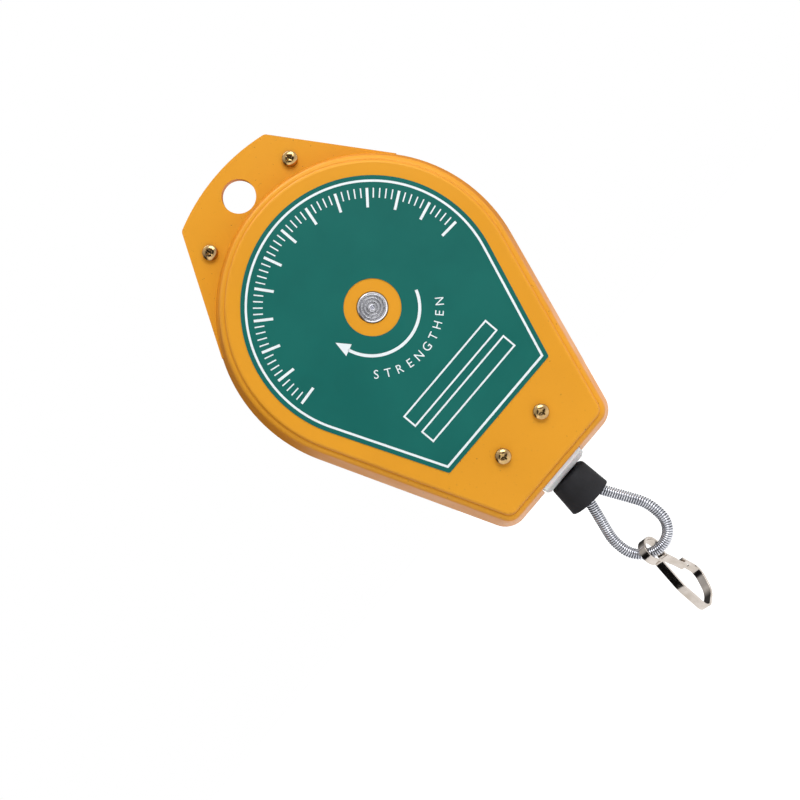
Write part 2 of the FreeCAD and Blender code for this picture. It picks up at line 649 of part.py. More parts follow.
def add_ratchet():
    """Saw teeth that let the spindle turn clockwise seen from the label."""
    body = new_body("ratchet_wheel")
    outer, inner = size("ratchet_tip_radius"), size("ratchet_root_radius")
    blank = new_sketch(body, "blank", lift=-RATCHET_FRONT)
    circle(blank, outer)
    circle(blank, size("stub_radius") + 0.03)
    pad(blank, size("ratchet_thickness"), rear=True)
    flats = new_sketch(body, "flats", lift=-RATCHET_FRONT)
    far, tall = size("stub_radius") + 1, size("stub_radius") * 0.8
    for sign in (-1, 1):
        flat = (size("stub_flat") + 0.03) * sign
        polygon(flats, [(flat, -tall), (far * sign, -tall), (far * sign, tall), (flat, tall)])
    pad(flats, size("ratchet_thickness"), rear=True)
    gap = new_sketch(body, "tooth_gap", lift=-RATCHET_FRONT)
    pitch = Size(360.0) / size("ratchet_teeth")
    start = Size(90.0) - size("pawl_toe_gap") * 4
    beyond = outer + 1.5
    polygon(gap, [polar(inner, start), polar(beyond, start), polar(beyond, start + pitch),
                  polar(outer, start + pitch)])
    cut = pocket(gap, size("ratchet_thickness"), rear=True)
    pattern = body.newObject("PartDesign::PolarPattern", "ratchet_wheel_teeth")
    pattern.Originals = [cut]
    pattern.Axis = (gap, ["N_Axis"])
    pattern.Angle = 360
    bind(pattern, "Occurrences", size("ratchet_teeth"))
    body.Tip = pattern
    NODES["ratchet_wheel"] = body


add_ratchet()

PIVOT_X = -size("pawl_reach")
TOE_Z = size("ratchet_root_radius") + size("pawl_toe_gap")
PIVOT_Z = TOE_Z + size("pawl_rise")
PAWL_SLOPE = tangent(size("pawl_slope"))


def add_pawl():
    """The pawl, its toe in a tooth gap straight above the spindle."""
    body = new_body("pawl")
    lift = -(RATCHET_FRONT + 0.1)
    boss = size("pawl_boss_radius")
    toe, back = size("pawl_toe"), size("pawl_back")
    arm = new_sketch(body, "arm", lift=lift)
    polygon(arm, [(ZERO, TOE_Z), (ZERO, TOE_Z + toe), (-(toe * 0.9), TOE_Z + toe + back * 0.55),
                  (PIVOT_X + boss * 0.2, PIVOT_Z + boss * 0.95),
                  (PIVOT_X - boss * 0.2, PIVOT_Z - boss * 0.95),
                  (PIVOT_X + boss * 0.6, PIVOT_Z - boss * 0.75),
                  (-size("pawl_clear_length"), TOE_Z + size("pawl_clear_length") * PAWL_SLOPE)])
    pad(arm, size("pawl_thickness"), rear=True)
    knuckle = circle(new_sketch(body, "knuckle", lift=lift), boss, PIVOT_X, PIVOT_Z)
    pad(knuckle, size("pawl_thickness"), rear=True)
    hole = circle(new_sketch(body, "hole", lift=lift),
                  size("pawl_pin_radius") + size("running_gap"), PIVOT_X, PIVOT_Z)
    pocket(hole, size("pawl_thickness"), rear=True)
    NODES["pawl"] = body


add_pawl()


def recess_pin(label, radius, head_radius, x, z, gap):
    """A headed pin that stands on the recess floor."""
    body = new_body(label)
    shoulder = RATCHET_FRONT + 0.1 + size("pawl_thickness") + gap
    section = new_sketch(body, "section", "XY_Plane")
    polygon(section, [(ZERO, FLOOR), (radius, FLOOR), (radius, shoulder),
                      (head_radius, shoulder), (head_radius, shoulder + size("pawl_pin_head")),
                      (ZERO, shoulder + size("pawl_pin_head"))])
    revolve(section)
    bind(body, "Placement.Base.x", x)
    bind(body, "Placement.Base.z", z - size("spindle_drop"))
    NODES[label] = body


recess_pin("pawl_pin", size("pawl_pin_radius"), size("pawl_pin_head_radius"), PIVOT_X, PIVOT_Z, 0.1)
recess_pin("spring_post", size("post_radius"), size("post_radius") + 0.5,
           size("post_spread"), size("post_rise"), -0.1)


def add_pawl_spring():
    """A leaf curled round its post, whose free end rests on the pawl's back."""
    thick = mm("leaf_thickness")
    depth = RATCHET_FRONT.value + 0.1 + (mm("pawl_thickness") - mm("leaf_width")) / 2
    post = Vector(mm("post_spread"), depth, mm("post_rise"))
    curl = mm("post_radius") + 0.03
    toe, back = mm("pawl_toe"), mm("pawl_back")
    knee = Vector(-toe * 0.9, depth, TOE_Z.value + toe + back * 0.55)
    heel = Vector(PIVOT_X.value + mm("pawl_boss_radius") * 0.2, depth,
                  PIVOT_Z.value + mm("pawl_boss_radius") * 0.95)
    along = (heel - knee).normalize()
    normal = Vector(-along.z, 0, along.x)
    if normal.z < 0:
        normal = -normal
    tip = knee + along * 2.5 + normal * mm("leaf_gap")
    ring_outer = Part.makeCylinder(curl + thick, mm("leaf_width"), post, Vector(0, 1, 0))
    ring_inner = Part.makeCylinder(curl, mm("leaf_width"), post, Vector(0, 1, 0))
    foot = post + Vector(0, 0, -curl - thick / 2)
    heading = tip + normal * (thick / 2)
    middle = (foot + heading) * 0.5 + normal * mm("leaf_sag")
    bow = Part.Arc(foot, middle, heading).toShape()
    inner = bow.copy()
    inner.translate(normal * (thick / 2))
    outer = bow.copy()
    outer.translate(normal * (-thick / 2))
    caps = [Part.makeLine(inner.Vertexes[end].Point, outer.Vertexes[end].Point) for end in (0, -1)]
    blade = Part.Face(Part.Wire(Part.__sortEdges__([inner, caps[1], outer, caps[0]])))
    leaf = blade.extrude(Vector(0, mm("leaf_width"), 0))
    shape = ring_outer.fuse(leaf).cut(ring_inner).removeSplitter()
    shaped_node("pawl_spring", shape, mm("spindle_drop"))


add_pawl_spring()


def add_clip():
    """The open retaining ring behind the ratchet."""
    body = new_body("spindle_clip")
    ring = new_sketch(body, "ring", lift=-(RATCHET_REAR + 0.02))
    circle(ring, size("clip_radius"))
    circle(ring, size("stub_radius") - size("clip_groove") + 0.02)
    pad(ring, size("clip_thickness") - 0.04, rear=True)
    mouth = size("clip_mouth") / 2
    gap = new_sketch(body, "mouth", lift=-(RATCHET_REAR + 0.02))
    far = size("clip_radius") + 1
    polygon(gap, [(-mouth, -far), (mouth, -far), (mouth, ZERO), (-mouth, ZERO)])
    pocket(gap, size("clip_thickness"), rear=True)
    NODES["spindle_clip"] = body


add_clip()


# ---------------------------------------------------------------- drum and main spring

GROOVE = WIND_RADIUS - size("rope_radius")
DRUM_HALF = INNER_SHOULDER - size("drum_side_gap")
GROOVE_HALF = DRUM_HALF - size("flange_thickness")
SEAT = size("spring_case_radius") + size("cover_seat")


def add_drum():
    """Rope drum: a grooved rim, a web at the rear and a hub."""
    groove, flange = GROOVE_HALF, FLANGE_RADIUS
    case, web, hub = size("spring_case_radius"), WEB_FRONT, size("hub_radius")
    rise = WEB_REAR + size("hub_rise")
    body = revolved_node("drum", [
        (BUSH, web), (BUSH, rise), (hub, rise), (hub, WEB_REAR), (SEAT, WEB_REAR),
        (SEAT, DRUM_HALF), (flange, DRUM_HALF), (flange, groove), (GROOVE, groove),
        (GROOVE, -groove), (flange, -groove), (flange, -DRUM_HALF), (SEAT, -DRUM_HALF),
        (SEAT, -COVER_REAR), (case, -COVER_REAR), (case, web)])
    eye = new_sketch(body, "rope_hole", lift=-(groove - 0.5))
    angle = size("anchor_angle")
    far = WIND_RADIUS + size("rope_radius")
    circle(eye, size("rope_radius") * 1.1, far * cosine(angle), far * sine(angle))
    pocket(eye, size("flange_thickness") + 1, rear=True)
    return body


add_drum()

revolved_node("drum_cover", [
    (BUSH, -COVER_REAR), (SEAT - 0.02, -COVER_REAR), (SEAT - 0.02, -COVER_FRONT),
    (size("hub_radius"), -COVER_FRONT), (size("hub_radius"), -COVER_HUB_FRONT),
    (BUSH, -COVER_HUB_FRONT)])
revolved_node("cover_bush", [
    (BORE, -COVER_HUB_FRONT), (BUSH, -COVER_HUB_FRONT),
    (BUSH, -COVER_REAR), (BORE, -COVER_REAR)])
revolved_node("drum_bush", [
    (BORE, WEB_FRONT), (BUSH, WEB_FRONT),
    (BUSH, WEB_REAR + size("hub_rise")), (BORE, WEB_REAR + size("hub_rise"))])


def add_rope_coil():
    """The wound rope as one ring of beads, a bead for each turn."""
    radius, pitch = size("rope_radius"), size("rope_pitch")
    first = GROOVE_HALF - pitch * size("rope_turns")
    points = [(GROOVE, first)]
    for turn in range(int(size("rope_turns").value)):
        low = first + pitch * turn
        for out, along in ((0.75, 0.12), (1.0, 0.33), (1.0, 0.67), (0.75, 0.88)):
            points.append((GROOVE + radius * 2 * out, low + pitch * along))
        points.append((GROOVE + radius, low + pitch))
    points[-1] = (GROOVE, GROOVE_HALF)
    revolved_node("rope_coil", points)


add_rope_coil()

anchor = new_body("rope_anchor")
angle = size("anchor_angle")
anchor_reach = WIND_RADIUS + size("rope_radius")
crimp = circle(new_sketch(anchor, "crimp", lift=-DRUM_HALF), size("anchor_radius"),
               anchor_reach * cosine(angle), anchor_reach * sine(angle))
pad(crimp, size("anchor_length"), rear=True)
stub = circle(new_sketch(anchor, "stub", lift=-GROOVE_HALF), size("rope_radius"),
              anchor_reach * cosine(angle), anchor_reach * sine(angle))
pad(stub, size("flange_thickness"), rear=True)
NODES["rope_anchor"] = anchor


def add_main_spring():
    """The spiral power spring, from the arbor out to the drum's wall."""
    turns, thick = mm("spring_turns"), mm("spring_thickness")
    begin = mm("arbor_radius") + mm("spring_end_gap")
    end = mm("spring_case_radius") - mm("spring_end_gap") - thick
    steps = int(turns * 12)

    def spiral(extra):
        points = []
        for step in range(steps + 1):
            share = step / steps
            radius = begin + (end - begin) * share + extra
            angle = 2 * math.pi * turns * share
            points.append(Vector(radius * math.cos(angle), -SPRING_FRONT.value,
                                 radius * math.sin(angle)))
        curve = Part.BSplineCurve()
        curve.interpolate(points)
        return curve.toShape(), points

    inner, inner_points = spiral(0.0)
    outer, outer_points = spiral(thick)
    caps = [Part.makeLine(inner_points[0], outer_points[0]),
            Part.makeLine(inner_points[-1], outer_points[-1])]
    face = Part.Face(Part.Wire([caps[0], outer, caps[1], inner]))
    width = SPRING_FRONT.value + SPRING_REAR.value
    shaped_node("main_spring", face.extrude(Vector(0, width, 0)), mm("spindle_drop"))


add_main_spring()


# ---------------------------------------------------------------- rope, buffer and ferrule

def tube(path, radius, hole=0.0):
    """Sweep a round section, or a ring, along a wire of lines and tangent arcs."""
    edge = path.Edges[0]
    start, along = edge.valueAt(edge.FirstParameter), edge.tangentAt(edge.FirstParameter)

    def sweep(amount):
        ring = Part.Wire(Part.makeCircle(amount, start, along))
        return path.makePipeShell([ring], True, False)

    solid = sweep(radius)
    return solid.cut(sweep(hole)) if hole else solid


def add_rope():
    """The rope from the drum's lower left, round the bend and down the bore."""
    drop, bend = mm("bend_drop"), mm("bend_radius")
    wound = WIND_RADIUS.value + mm("lead_in")
    swing = math.acos(wound / drop)
    lead_y = -(GROOVE_HALF.value - mm("rope_radius") - mm("lead_in"))
    start = Vector(-wound * math.sin(swing), lead_y, -wound * math.cos(swing))
    corner = Vector(0, 0, -drop)
    low = Vector(0, 0, -mm("tail_top_drop"))
    into, out = (corner - start).normalize(), Vector(0, 0, -1)
    turn = into.getAngle(out)
    tangent_length = bend * math.tan(turn / 2)
    first, last = corner - into * tangent_length, corner + out * tangent_length
    inward = (out - into).normalize()
    centre = corner + inward * (bend / math.cos(turn / 2))
    middle = centre - inward * bend
    path = Part.Wire([Part.makeLine(start, first), Part.Arc(first, middle, last).toShape(),
                      Part.makeLine(last, low)])
    shaped_node("rope_run", tube(path, mm("rope_radius")), mm("spindle_drop"))


add_rope()

revolved_node("rope_tail", [
    (ZERO, -size("ferrule_high")), (size("rope_radius"), -size("ferrule_high")),
    (size("rope_radius"), -size("tail_top_drop")), (ZERO, -size("tail_top_drop"))], "XZ_Plane")
revolved_node("ferrule", [
    (ZERO, -size("ferrule_low")), (size("ferrule_radius"), -size("ferrule_low")),
    (size("ferrule_radius"), -size("ferrule_high")), (ZERO, -size("ferrule_high"))], "XZ_Plane")

BUFFER_TOP = size("bottom_drop") + size("block_stand") + size("buffer_gap")
BUFFER_LOW = BUFFER_TOP + size("buffer_height")


def loop_path(top):
    """The loop's centre line in its own XZ plane, starting and ending at height top."""
    centre = Vector(mm("loop_offset"), 0, -mm("loop_drop"))
    radius, shoulder = mm("loop_radius"), mm("loop_shoulder_radius")
    high = centre.z + mm("loop_straight")
    edges = []
    for sign, leg in ((-1, mm("leg_left")), (1, mm("leg_right"))):
        pivot = Vector(centre.x + sign * (radius - shoulder), 0, high)
        foot = Vector(leg, 0, -mm("ferrule_low"))
        gap = pivot - foot
        lean = math.asin(shoulder / gap.Length) + math.atan2(gap.x * -sign, -gap.z) * -1
        along = Vector(sign * math.sin(lean), 0, -math.cos(lean))
        touch = foot + along * math.sqrt(gap.Length ** 2 - shoulder ** 2)
        begin = foot + along * ((top - foot.z) / along.z)
        side = Vector(centre.x + sign * radius, 0, high)
        half = pivot + ((touch - pivot) + (side - pivot)).normalize() * shoulder
        lower = Vector(side.x, 0, centre.z)
        leg_edges = [Part.makeLine(begin, touch), Part.Arc(touch, half, side).toShape(),
                     Part.makeLine(side, lower)]
        edges.append((leg_edges, [begin, touch, side, lower]))
    left, right = edges
    bottom = Part.Arc(left[1][3], centre - Vector(0, 0, radius), right[1][3]).toShape()
    return Part.Wire(Part.__sortEdges__(left[0] + [bottom] + right[0]))


def add_rope_end():
    """The rubber buffer, the rope loop below it and the loop's spring sleeve."""
    drop, yaw = mm("spindle_drop"), -mm("loop_yaw")
    rope_path = loop_path(-mm("ferrule_low") - mm("loop_end"))
    rope = tube(rope_path, mm("rope_radius"))
    shaped_node("loop_rope", rope, drop, yaw)
    sleeve_path = loop_path(-mm("sleeve_high"))
    sleeve = tube(sleeve_path, mm("sleeve_radius"), mm("sleeve_radius") - mm("sleeve_wall"))
    shaped_node("loop_sleeve", sleeve, drop, yaw)

    blank = new_body("buffer_blank")
    section = new_sketch(blank, "section", "XZ_Plane")
    polygon(section, [
        (ZERO, -BUFFER_TOP), (size("buffer_top_radius"), -BUFFER_TOP),
        (size("buffer_bottom_radius"), -BUFFER_LOW), (ZERO, -BUFFER_LOW)])
    revolve(section)
    top, wide = -BUFFER_TOP.value, size("buffer_top_radius").value
    round_edges(blank, "shoulder", size("buffer_fillet"),
                lambda p: near(p.z, top) and math.hypot(p.x, p.y) > wide - 0.5)
    tilt = size("buffer_tilt")
    blank.Placement.Rotation = Rotation(Vector(0, 1, 0), tilt.value)
    bind(blank, "Placement.Rotation.Angle", tilt)
    bind(blank, "Placement.Base.x", BUFFER_TOP * sine(tilt))
    bind(blank, "Placement.Base.z", BUFFER_TOP * cosine(tilt) - BUFFER_TOP - size("spindle_drop"))
    bore, high, low = mm("rope_radius") + mm("buffer_bore_gap"), mm("ferrule_high"), mm("ferrule_low")
    down = Vector(0, 0, -1)
    seat = Part.makeCylinder(mm("ferrule_radius"), low - high, Vector(0, 0, -high), down)
    hole = Part.makeCylinder(bore, high - mm("bottom_drop"), Vector(0, 0, -mm("bottom_drop")), down)
    legs = doc.addObject("Part::Feature", "leg_bores")
    legs.Shape = rope.fuse([tube(sleeve_path, mm("sleeve_radius")), seat, hole])
    legs.Placement = FreeCAD.Placement(Vector(0, 0, -drop), Rotation(Vector(0, 0, 1), yaw))
    buffer = doc.addObject("Part::Cut", "rubber_buffer")
    buffer.Label = "rubber_buffer"
    buffer.Base = blank
    buffer.Tool = legs
    NODES["rubber_buffer"] = buffer


add_rope_end()


# ---------------------------------------------------------------- snap hook

def line_piece(begin, end):
    return ("line", begin, end)


def arc_piece(centre, begin, end, clockwise):
    return ("arc", centre, begin, end, clockwise)


def arc_middle(centre, begin, end, clockwise):
    """The point halfway along an arc about centre from begin to end."""
    start = math.atan2(begin.z - centre.z, begin.x - centre.x)
    stop = math.atan2(end.z - centre.z, end.x - centre.x)
    sweep = (start - stop) % (2 * math.pi) if clockwise else (stop - start) % (2 * math.pi)
    angle = start - sweep / 2 if clockwise else start + sweep / 2
    return centre + Vector(math.cos(angle), 0, math.sin(angle)) * (begin - centre).Length


def strip_solid(pieces, thickness, width):
    """A flat strip bent along lines and tangent arcs in the XZ plane."""
    def offset(amount):
        edges, ends = [], []
        for piece in pieces:
            if piece[0] == "line":
                _, begin, end = piece
                along = (end - begin).normalize()
                shift = Vector(-along.z, 0, along.x) * amount
                edge = Part.makeLine(begin + shift, end + shift)
                ends.extend([begin + shift, end + shift])
            else:
                _, centre, begin, end, clockwise = piece
                radius = (begin - centre).Length
                scale = (radius + (amount if clockwise else -amount)) / radius
                near_end = centre + (begin - centre) * scale
                far_end = centre + (end - centre) * scale
                halfway = arc_middle(centre, near_end, far_end, clockwise)
                edge = Part.Arc(near_end, halfway, far_end).toShape()
                ends.extend([near_end, far_end])
            edges.append(edge)
        return edges, ends[0], ends[-1]

    left, left_start, left_end = offset(thickness / 2)
    right, right_start, right_end = offset(-thickness / 2)
    outline = left + right + [Part.makeLine(left_start, right_start),
                              Part.makeLine(left_end, right_end)]
    face = Part.Face(Part.Wire(Part.__sortEdges__(outline)))
    solid = face.extrude(Vector(0, width, 0))
    solid.translate(Vector(0, -width / 2, 0))
    return solid


def neck_arc(line_point, along, outward, eye, bend):
    """The small reverse bend between the eye and a leg: centre and both touch points."""
    base = line_point + outward * bend
    reach = eye + bend
    middle = -(base.x * along.x + base.z * along.z)
    offset = math.sqrt(reach ** 2 - base.Length ** 2 + middle ** 2)
    centre = base + along * (middle + offset)
    on_eye = centre * (eye / reach)
    on_line = centre - outward * bend
    return centre, on_eye, on_line


def corner_arc(before, corner, after, radius):
    """Round one corner of a path: the arc's centre and its two touch points."""
    into, out = (corner - before).normalize(), (after - corner).normalize()
    turn = into.getAngle(out)
    reach = radius * math.tan(turn / 2)
    inward = (out - into).normalize()
    return corner + inward * (radius / math.cos(turn / 2)), corner - into * reach, corner + out * reach


# The hook's centre line, from the eye's centre: its bends, each with its radius, and its ends.
SPINE_TOP = Vector(-2.4, 0, -4.8)
BENDS = ((Vector(-4.7, 0, -13.5), 14.0), (Vector(-5.0, 0, -24.1), 2.2),
         (Vector(3.0, 0, -23.4), 6.0), (Vector(7.9, 0, -17.4), 5.0))
NOSE = Vector(5.8, 0, -10.3)
GATE_TOP = Vector(2.1, 0, -5.2)
GATE_AIM = Vector(5.3, 0, -13.8)


def add_hook():
    """The bent strip: eye, spine, bow and slotted nose, and the sprung gate."""
    eye, bend = mm("eye_radius"), mm("neck_radius")
    thick, wide = mm("strip_thickness"), mm("strip_width")
    spine = (BENDS[0][0] - SPINE_TOP).normalize()
    gate = (GATE_AIM - GATE_TOP).normalize()
    left = Vector(spine.z, 0, -spine.x)
    right = Vector(-gate.z, 0, gate.x)
    centre_l, eye_l, line_l = neck_arc(SPINE_TOP, spine, left, eye, bend)
    centre_r, eye_r, line_r = neck_arc(GATE_TOP, gate, right, eye, bend)
    pieces = [arc_piece(centre_r, line_r, eye_r, True), arc_piece(Vector(), eye_r, eye_l, False),
              arc_piece(centre_l, eye_l, line_l, True)]
    here = line_l
    stops = [corner for corner, _ in BENDS[1:]] + [NOSE]
    for (corner, radius), beyond in zip(BENDS, stops):
        centre, enter, leave = corner_arc(here, corner, beyond, radius)
        pieces.extend([line_piece(here, enter), arc_piece(centre, enter, leave, False)])
        here = leave
    hook = strip_solid(pieces + [line_piece(here, NOSE)], thick, wide)
    slot = Part.makeBox(4 * thick, mm("slot_width"), mm("slot_length"),
                        Vector(NOSE.x - 2 * thick, -mm("slot_width") / 2,
                               NOSE.z - mm("slot_inset") - mm("slot_length")))
    hook = hook.cut(slot)

    split = line_r + gate * mm("gate_split")
    tip = split + gate * mm("gate_length")
    leaf = strip_solid([line_piece(split, tip)], thick, wide)
    narrow = Part.makeBox(40, mm("gate_taper"), 40, Vector(-20, wide / 2 - mm("gate_taper"), tip.z - 36))
    for shift in (0, mm("gate_taper") - wide):
        trim = narrow.copy()
        trim.translate(Vector(0, shift, 0))
        leaf = leaf.cut(trim)

    place = mm("hook_place")
    swing = math.asin((place - mm("loop_offset")) / mm("loop_radius"))
    yaw = math.radians(-mm("loop_yaw"))
    drop = mm("spindle_drop") + mm("loop_drop") + mm("loop_radius") * math.cos(swing)
    pivot = Vector(place * math.cos(yaw), place * math.sin(yaw), -drop)
    along = Vector(math.cos(swing) * math.cos(yaw), math.cos(swing) * math.sin(yaw), math.sin(swing))
    turned = Rotation(Vector(0, 0, 1), mm("hook_yaw"))
    base = pivot + turned.multVec(Vector(mm("hook_shift"), 0, -mm("hook_hang")))
    shaped_node("snap_hook", hook, yaw=mm("hook_yaw"), base=base)
    shaped_node("hook_gate", leaf, yaw=mm("hook_yaw"), base=base)
    return {"hook pivot": pivot, "hook axis": along,
            "gate pivot": base + turned.multVec(split), "gate axis": turned.multVec(Vector(0, 1, 0))}


HOOK_PLACES = add_hook()


# ---------------------------------------------------------------- check and export

doc.recompute()
for item in doc.Objects:
    if "Invalid" in item.State or "Error" in item.State:
        raise RuntimeError("%s did not build: %s" % (item.Label, item.State))

os.makedirs("parts", exist_ok=True)
for node, item in NODES.items():
    shape = item.Shape
    if shape.isNull() or not shape.isValid() or not shape.Solids:
        raise RuntimeError("%s has no valid solid" % node)
    shape.exportStep("parts/%s.step" % node)
    print("%-16s solids %d  volume %.2f" % (node, len(shape.Solids), shape.Volume))
for place, point in HOOK_PLACES.items():
    print("%-11s %.4f %.4f %.4f" % (place, point.x, point.y, point.z))
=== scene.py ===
"""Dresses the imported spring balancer: finishes, printed label, wound sleeve and rope."""

import json
import logging
import math
from dataclasses import dataclass, field
from enum import Enum
from typing import Iterable, Sequence

import bpy
from mathutils import Matrix, Vector

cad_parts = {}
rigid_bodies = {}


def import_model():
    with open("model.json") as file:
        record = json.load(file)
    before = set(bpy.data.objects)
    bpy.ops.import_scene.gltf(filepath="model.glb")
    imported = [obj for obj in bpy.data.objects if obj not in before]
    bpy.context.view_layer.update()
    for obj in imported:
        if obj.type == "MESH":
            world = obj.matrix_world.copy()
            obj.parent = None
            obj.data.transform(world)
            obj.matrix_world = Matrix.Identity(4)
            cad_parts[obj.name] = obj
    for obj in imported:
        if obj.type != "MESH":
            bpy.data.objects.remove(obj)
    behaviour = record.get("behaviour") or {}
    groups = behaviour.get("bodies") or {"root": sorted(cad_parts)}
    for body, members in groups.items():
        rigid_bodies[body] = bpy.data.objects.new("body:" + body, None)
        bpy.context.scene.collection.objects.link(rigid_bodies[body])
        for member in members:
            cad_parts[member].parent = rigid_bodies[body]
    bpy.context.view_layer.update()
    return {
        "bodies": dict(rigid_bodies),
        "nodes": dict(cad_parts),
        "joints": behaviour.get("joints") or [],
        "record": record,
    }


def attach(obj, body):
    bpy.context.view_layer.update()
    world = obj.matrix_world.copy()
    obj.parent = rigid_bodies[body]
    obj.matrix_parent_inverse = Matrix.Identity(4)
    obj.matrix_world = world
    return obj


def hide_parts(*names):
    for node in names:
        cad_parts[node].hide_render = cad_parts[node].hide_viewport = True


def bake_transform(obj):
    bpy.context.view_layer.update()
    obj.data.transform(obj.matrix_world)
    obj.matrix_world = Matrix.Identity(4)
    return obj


LOG = logging.getLogger("balancer")
MM = 0.001
SPINDLE_DROP = 56.0
CASE_BODY = "casing"
ROPE_BODY = "rope_end"

Colour = tuple[float, float, float]
Span = tuple[float, float]


class Grain(Enum):
    """How a surface is marked."""

    SMOOTH = "smooth"
    SPECKLED = "speckled"
    TURNED = "turned"
    DRAWN = "drawn"


# ------------------------------------------------------------------ finishes

class NodeSheet:
    """A node tree with short ways to add and join nodes."""

    def __init__(self, tree: bpy.types.NodeTree) -> None:
        """Keep the tree that the nodes go into."""
        self.tree = tree

    def add(self, kind: str, **settings: object) -> bpy.types.Node:
        """Add a node.

        Args:
            kind: the node's type name.
            settings: its properties, or inputs by name where no property has it.

        Returns:
            The new node.
        """
        node = self.tree.nodes.new(kind)
        for key, setting in settings.items():
            if hasattr(node, key):
                setattr(node, key, setting)
            else:
                node.inputs[key.replace("_", " ")].default_value = setting
        return node

    def join(self, source: bpy.types.NodeSocket, target: bpy.types.NodeSocket) -> None:
        """Link two sockets."""
        self.tree.links.new(source, target)

    def place(self, scale: Sequence[float] = (1.0, 1.0, 1.0),
              shift: Sequence[float] = (0.0, 0.0, 0.0)) -> bpy.types.NodeSocket:
        """Give coordinates in millimetres.

        Args:
            scale: extra scale on each axis.
            shift: what is added to each axis, in millimetres.

        Returns:
            The vector socket.
        """
        where = self.add("ShaderNodeTexCoord")
        mapping = self.add("ShaderNodeMapping")
        mapping.inputs["Scale"].default_value = [1000.0 * part for part in scale]
        mapping.inputs["Location"].default_value = list(shift)
        self.join(where.outputs["Object"], mapping.inputs["Vector"])
        return mapping.outputs["Vector"]

    def noise(self, vector: bpy.types.NodeSocket, scale: float, detail: float = 3.0,
              roughness: float = 0.55) -> bpy.types.NodeSocket:
        """Add a noise texture and return its factor.

        Args:
            vector: where it is read.
            scale: features per millimetre.
            detail: its octaves.
            roughness: how strong the fine octaves are.

        Returns:
            The factor socket.
        """
        node = self.add("ShaderNodeTexNoise", Scale=scale, Detail=detail, Roughness=roughness)
        self.join(vector, node.inputs["Vector"])
        return node.outputs["Fac"]

    def ramp(self, factor: bpy.types.NodeSocket, low: float, high: float, start: float = 0.0,
             end: float = 1.0) -> bpy.types.NodeSocket:
        """Map a range of a factor to another range, clamped.

        Args:
            factor: the socket read.
            low: the input where the output is start.
            high: the input where the output is end.
            start: the output at low.
            end: the output at high.

        Returns:
            The mapped socket.
        """
        node = self.add("ShaderNodeMapRange")
        for name, number in (("From Min", low), ("From Max", high), ("To Min", start),
                             ("To Max", end)):
            node.inputs[name].default_value = number
        self.join(factor, node.inputs["Value"])
        return node.outputs["Result"]

    def blend(self, factor: bpy.types.NodeSocket, first: object, second: object) -> bpy.types.NodeSocket:
        """Mix two colours, each a socket or a colour.

        Args:
            factor: the socket that chooses between them.
            first: the colour where the factor is 0.
            second: the colour where the factor is 1.

        Returns:
            The mixed colour's socket.
        """
        node = self.add("ShaderNodeMix", data_type="RGBA")
        for index, colour in ((6, first), (7, second)):
            if isinstance(colour, bpy.types.NodeSocket):
                self.join(colour, node.inputs[index])
            else:
                node.inputs[index].default_value = (*colour, 1.0)
        self.join(factor, node.inputs[0])
        return node.outputs[2]

    def math(self, operation: str, first: object, second: object = 0.0) -> bpy.types.NodeSocket:
        """Add a maths node.

        Args:
            operation: its operation.
            first: a socket or a number.
            second: a socket or a number.

        Returns:
            The result's socket.
        """
        node = self.add("ShaderNodeMath", operation=operation)
        for index, item in enumerate((first, second)):
            if isinstance(item, bpy.types.NodeSocket):
                self.join(item, node.inputs[index])
            else:
                node.inputs[index].default_value = item
        return node.outputs[0]


class ShaderSheet(NodeSheet):
    """A material's node tree, with the shader that it feeds."""

    def __init__(self, name: str) -> None:
        """Start a material.

        Args:
            name: the material's name.
        """
        self.material = bpy.data.materials.new(name)
        self.material.use_nodes = True
        super().__init__(self.material.node_tree)
        self.surface = self.tree.nodes["Principled BSDF"]

    def relief(self, height: bpy.types.NodeSocket, depth: float) -> None:
        """Raise the surface by a height.

        Args:
            height: the socket that gives the height, from 0 to 1.
            depth: the rise at a height of 1, in millimetres.
        """
        bump = self.add("ShaderNodeBump", Strength=1.0, Distance=depth * MM)
        self.join(height, bump.inputs["Height"])
        self.join(bump.outputs["Normal"], self.surface.inputs["Normal"])


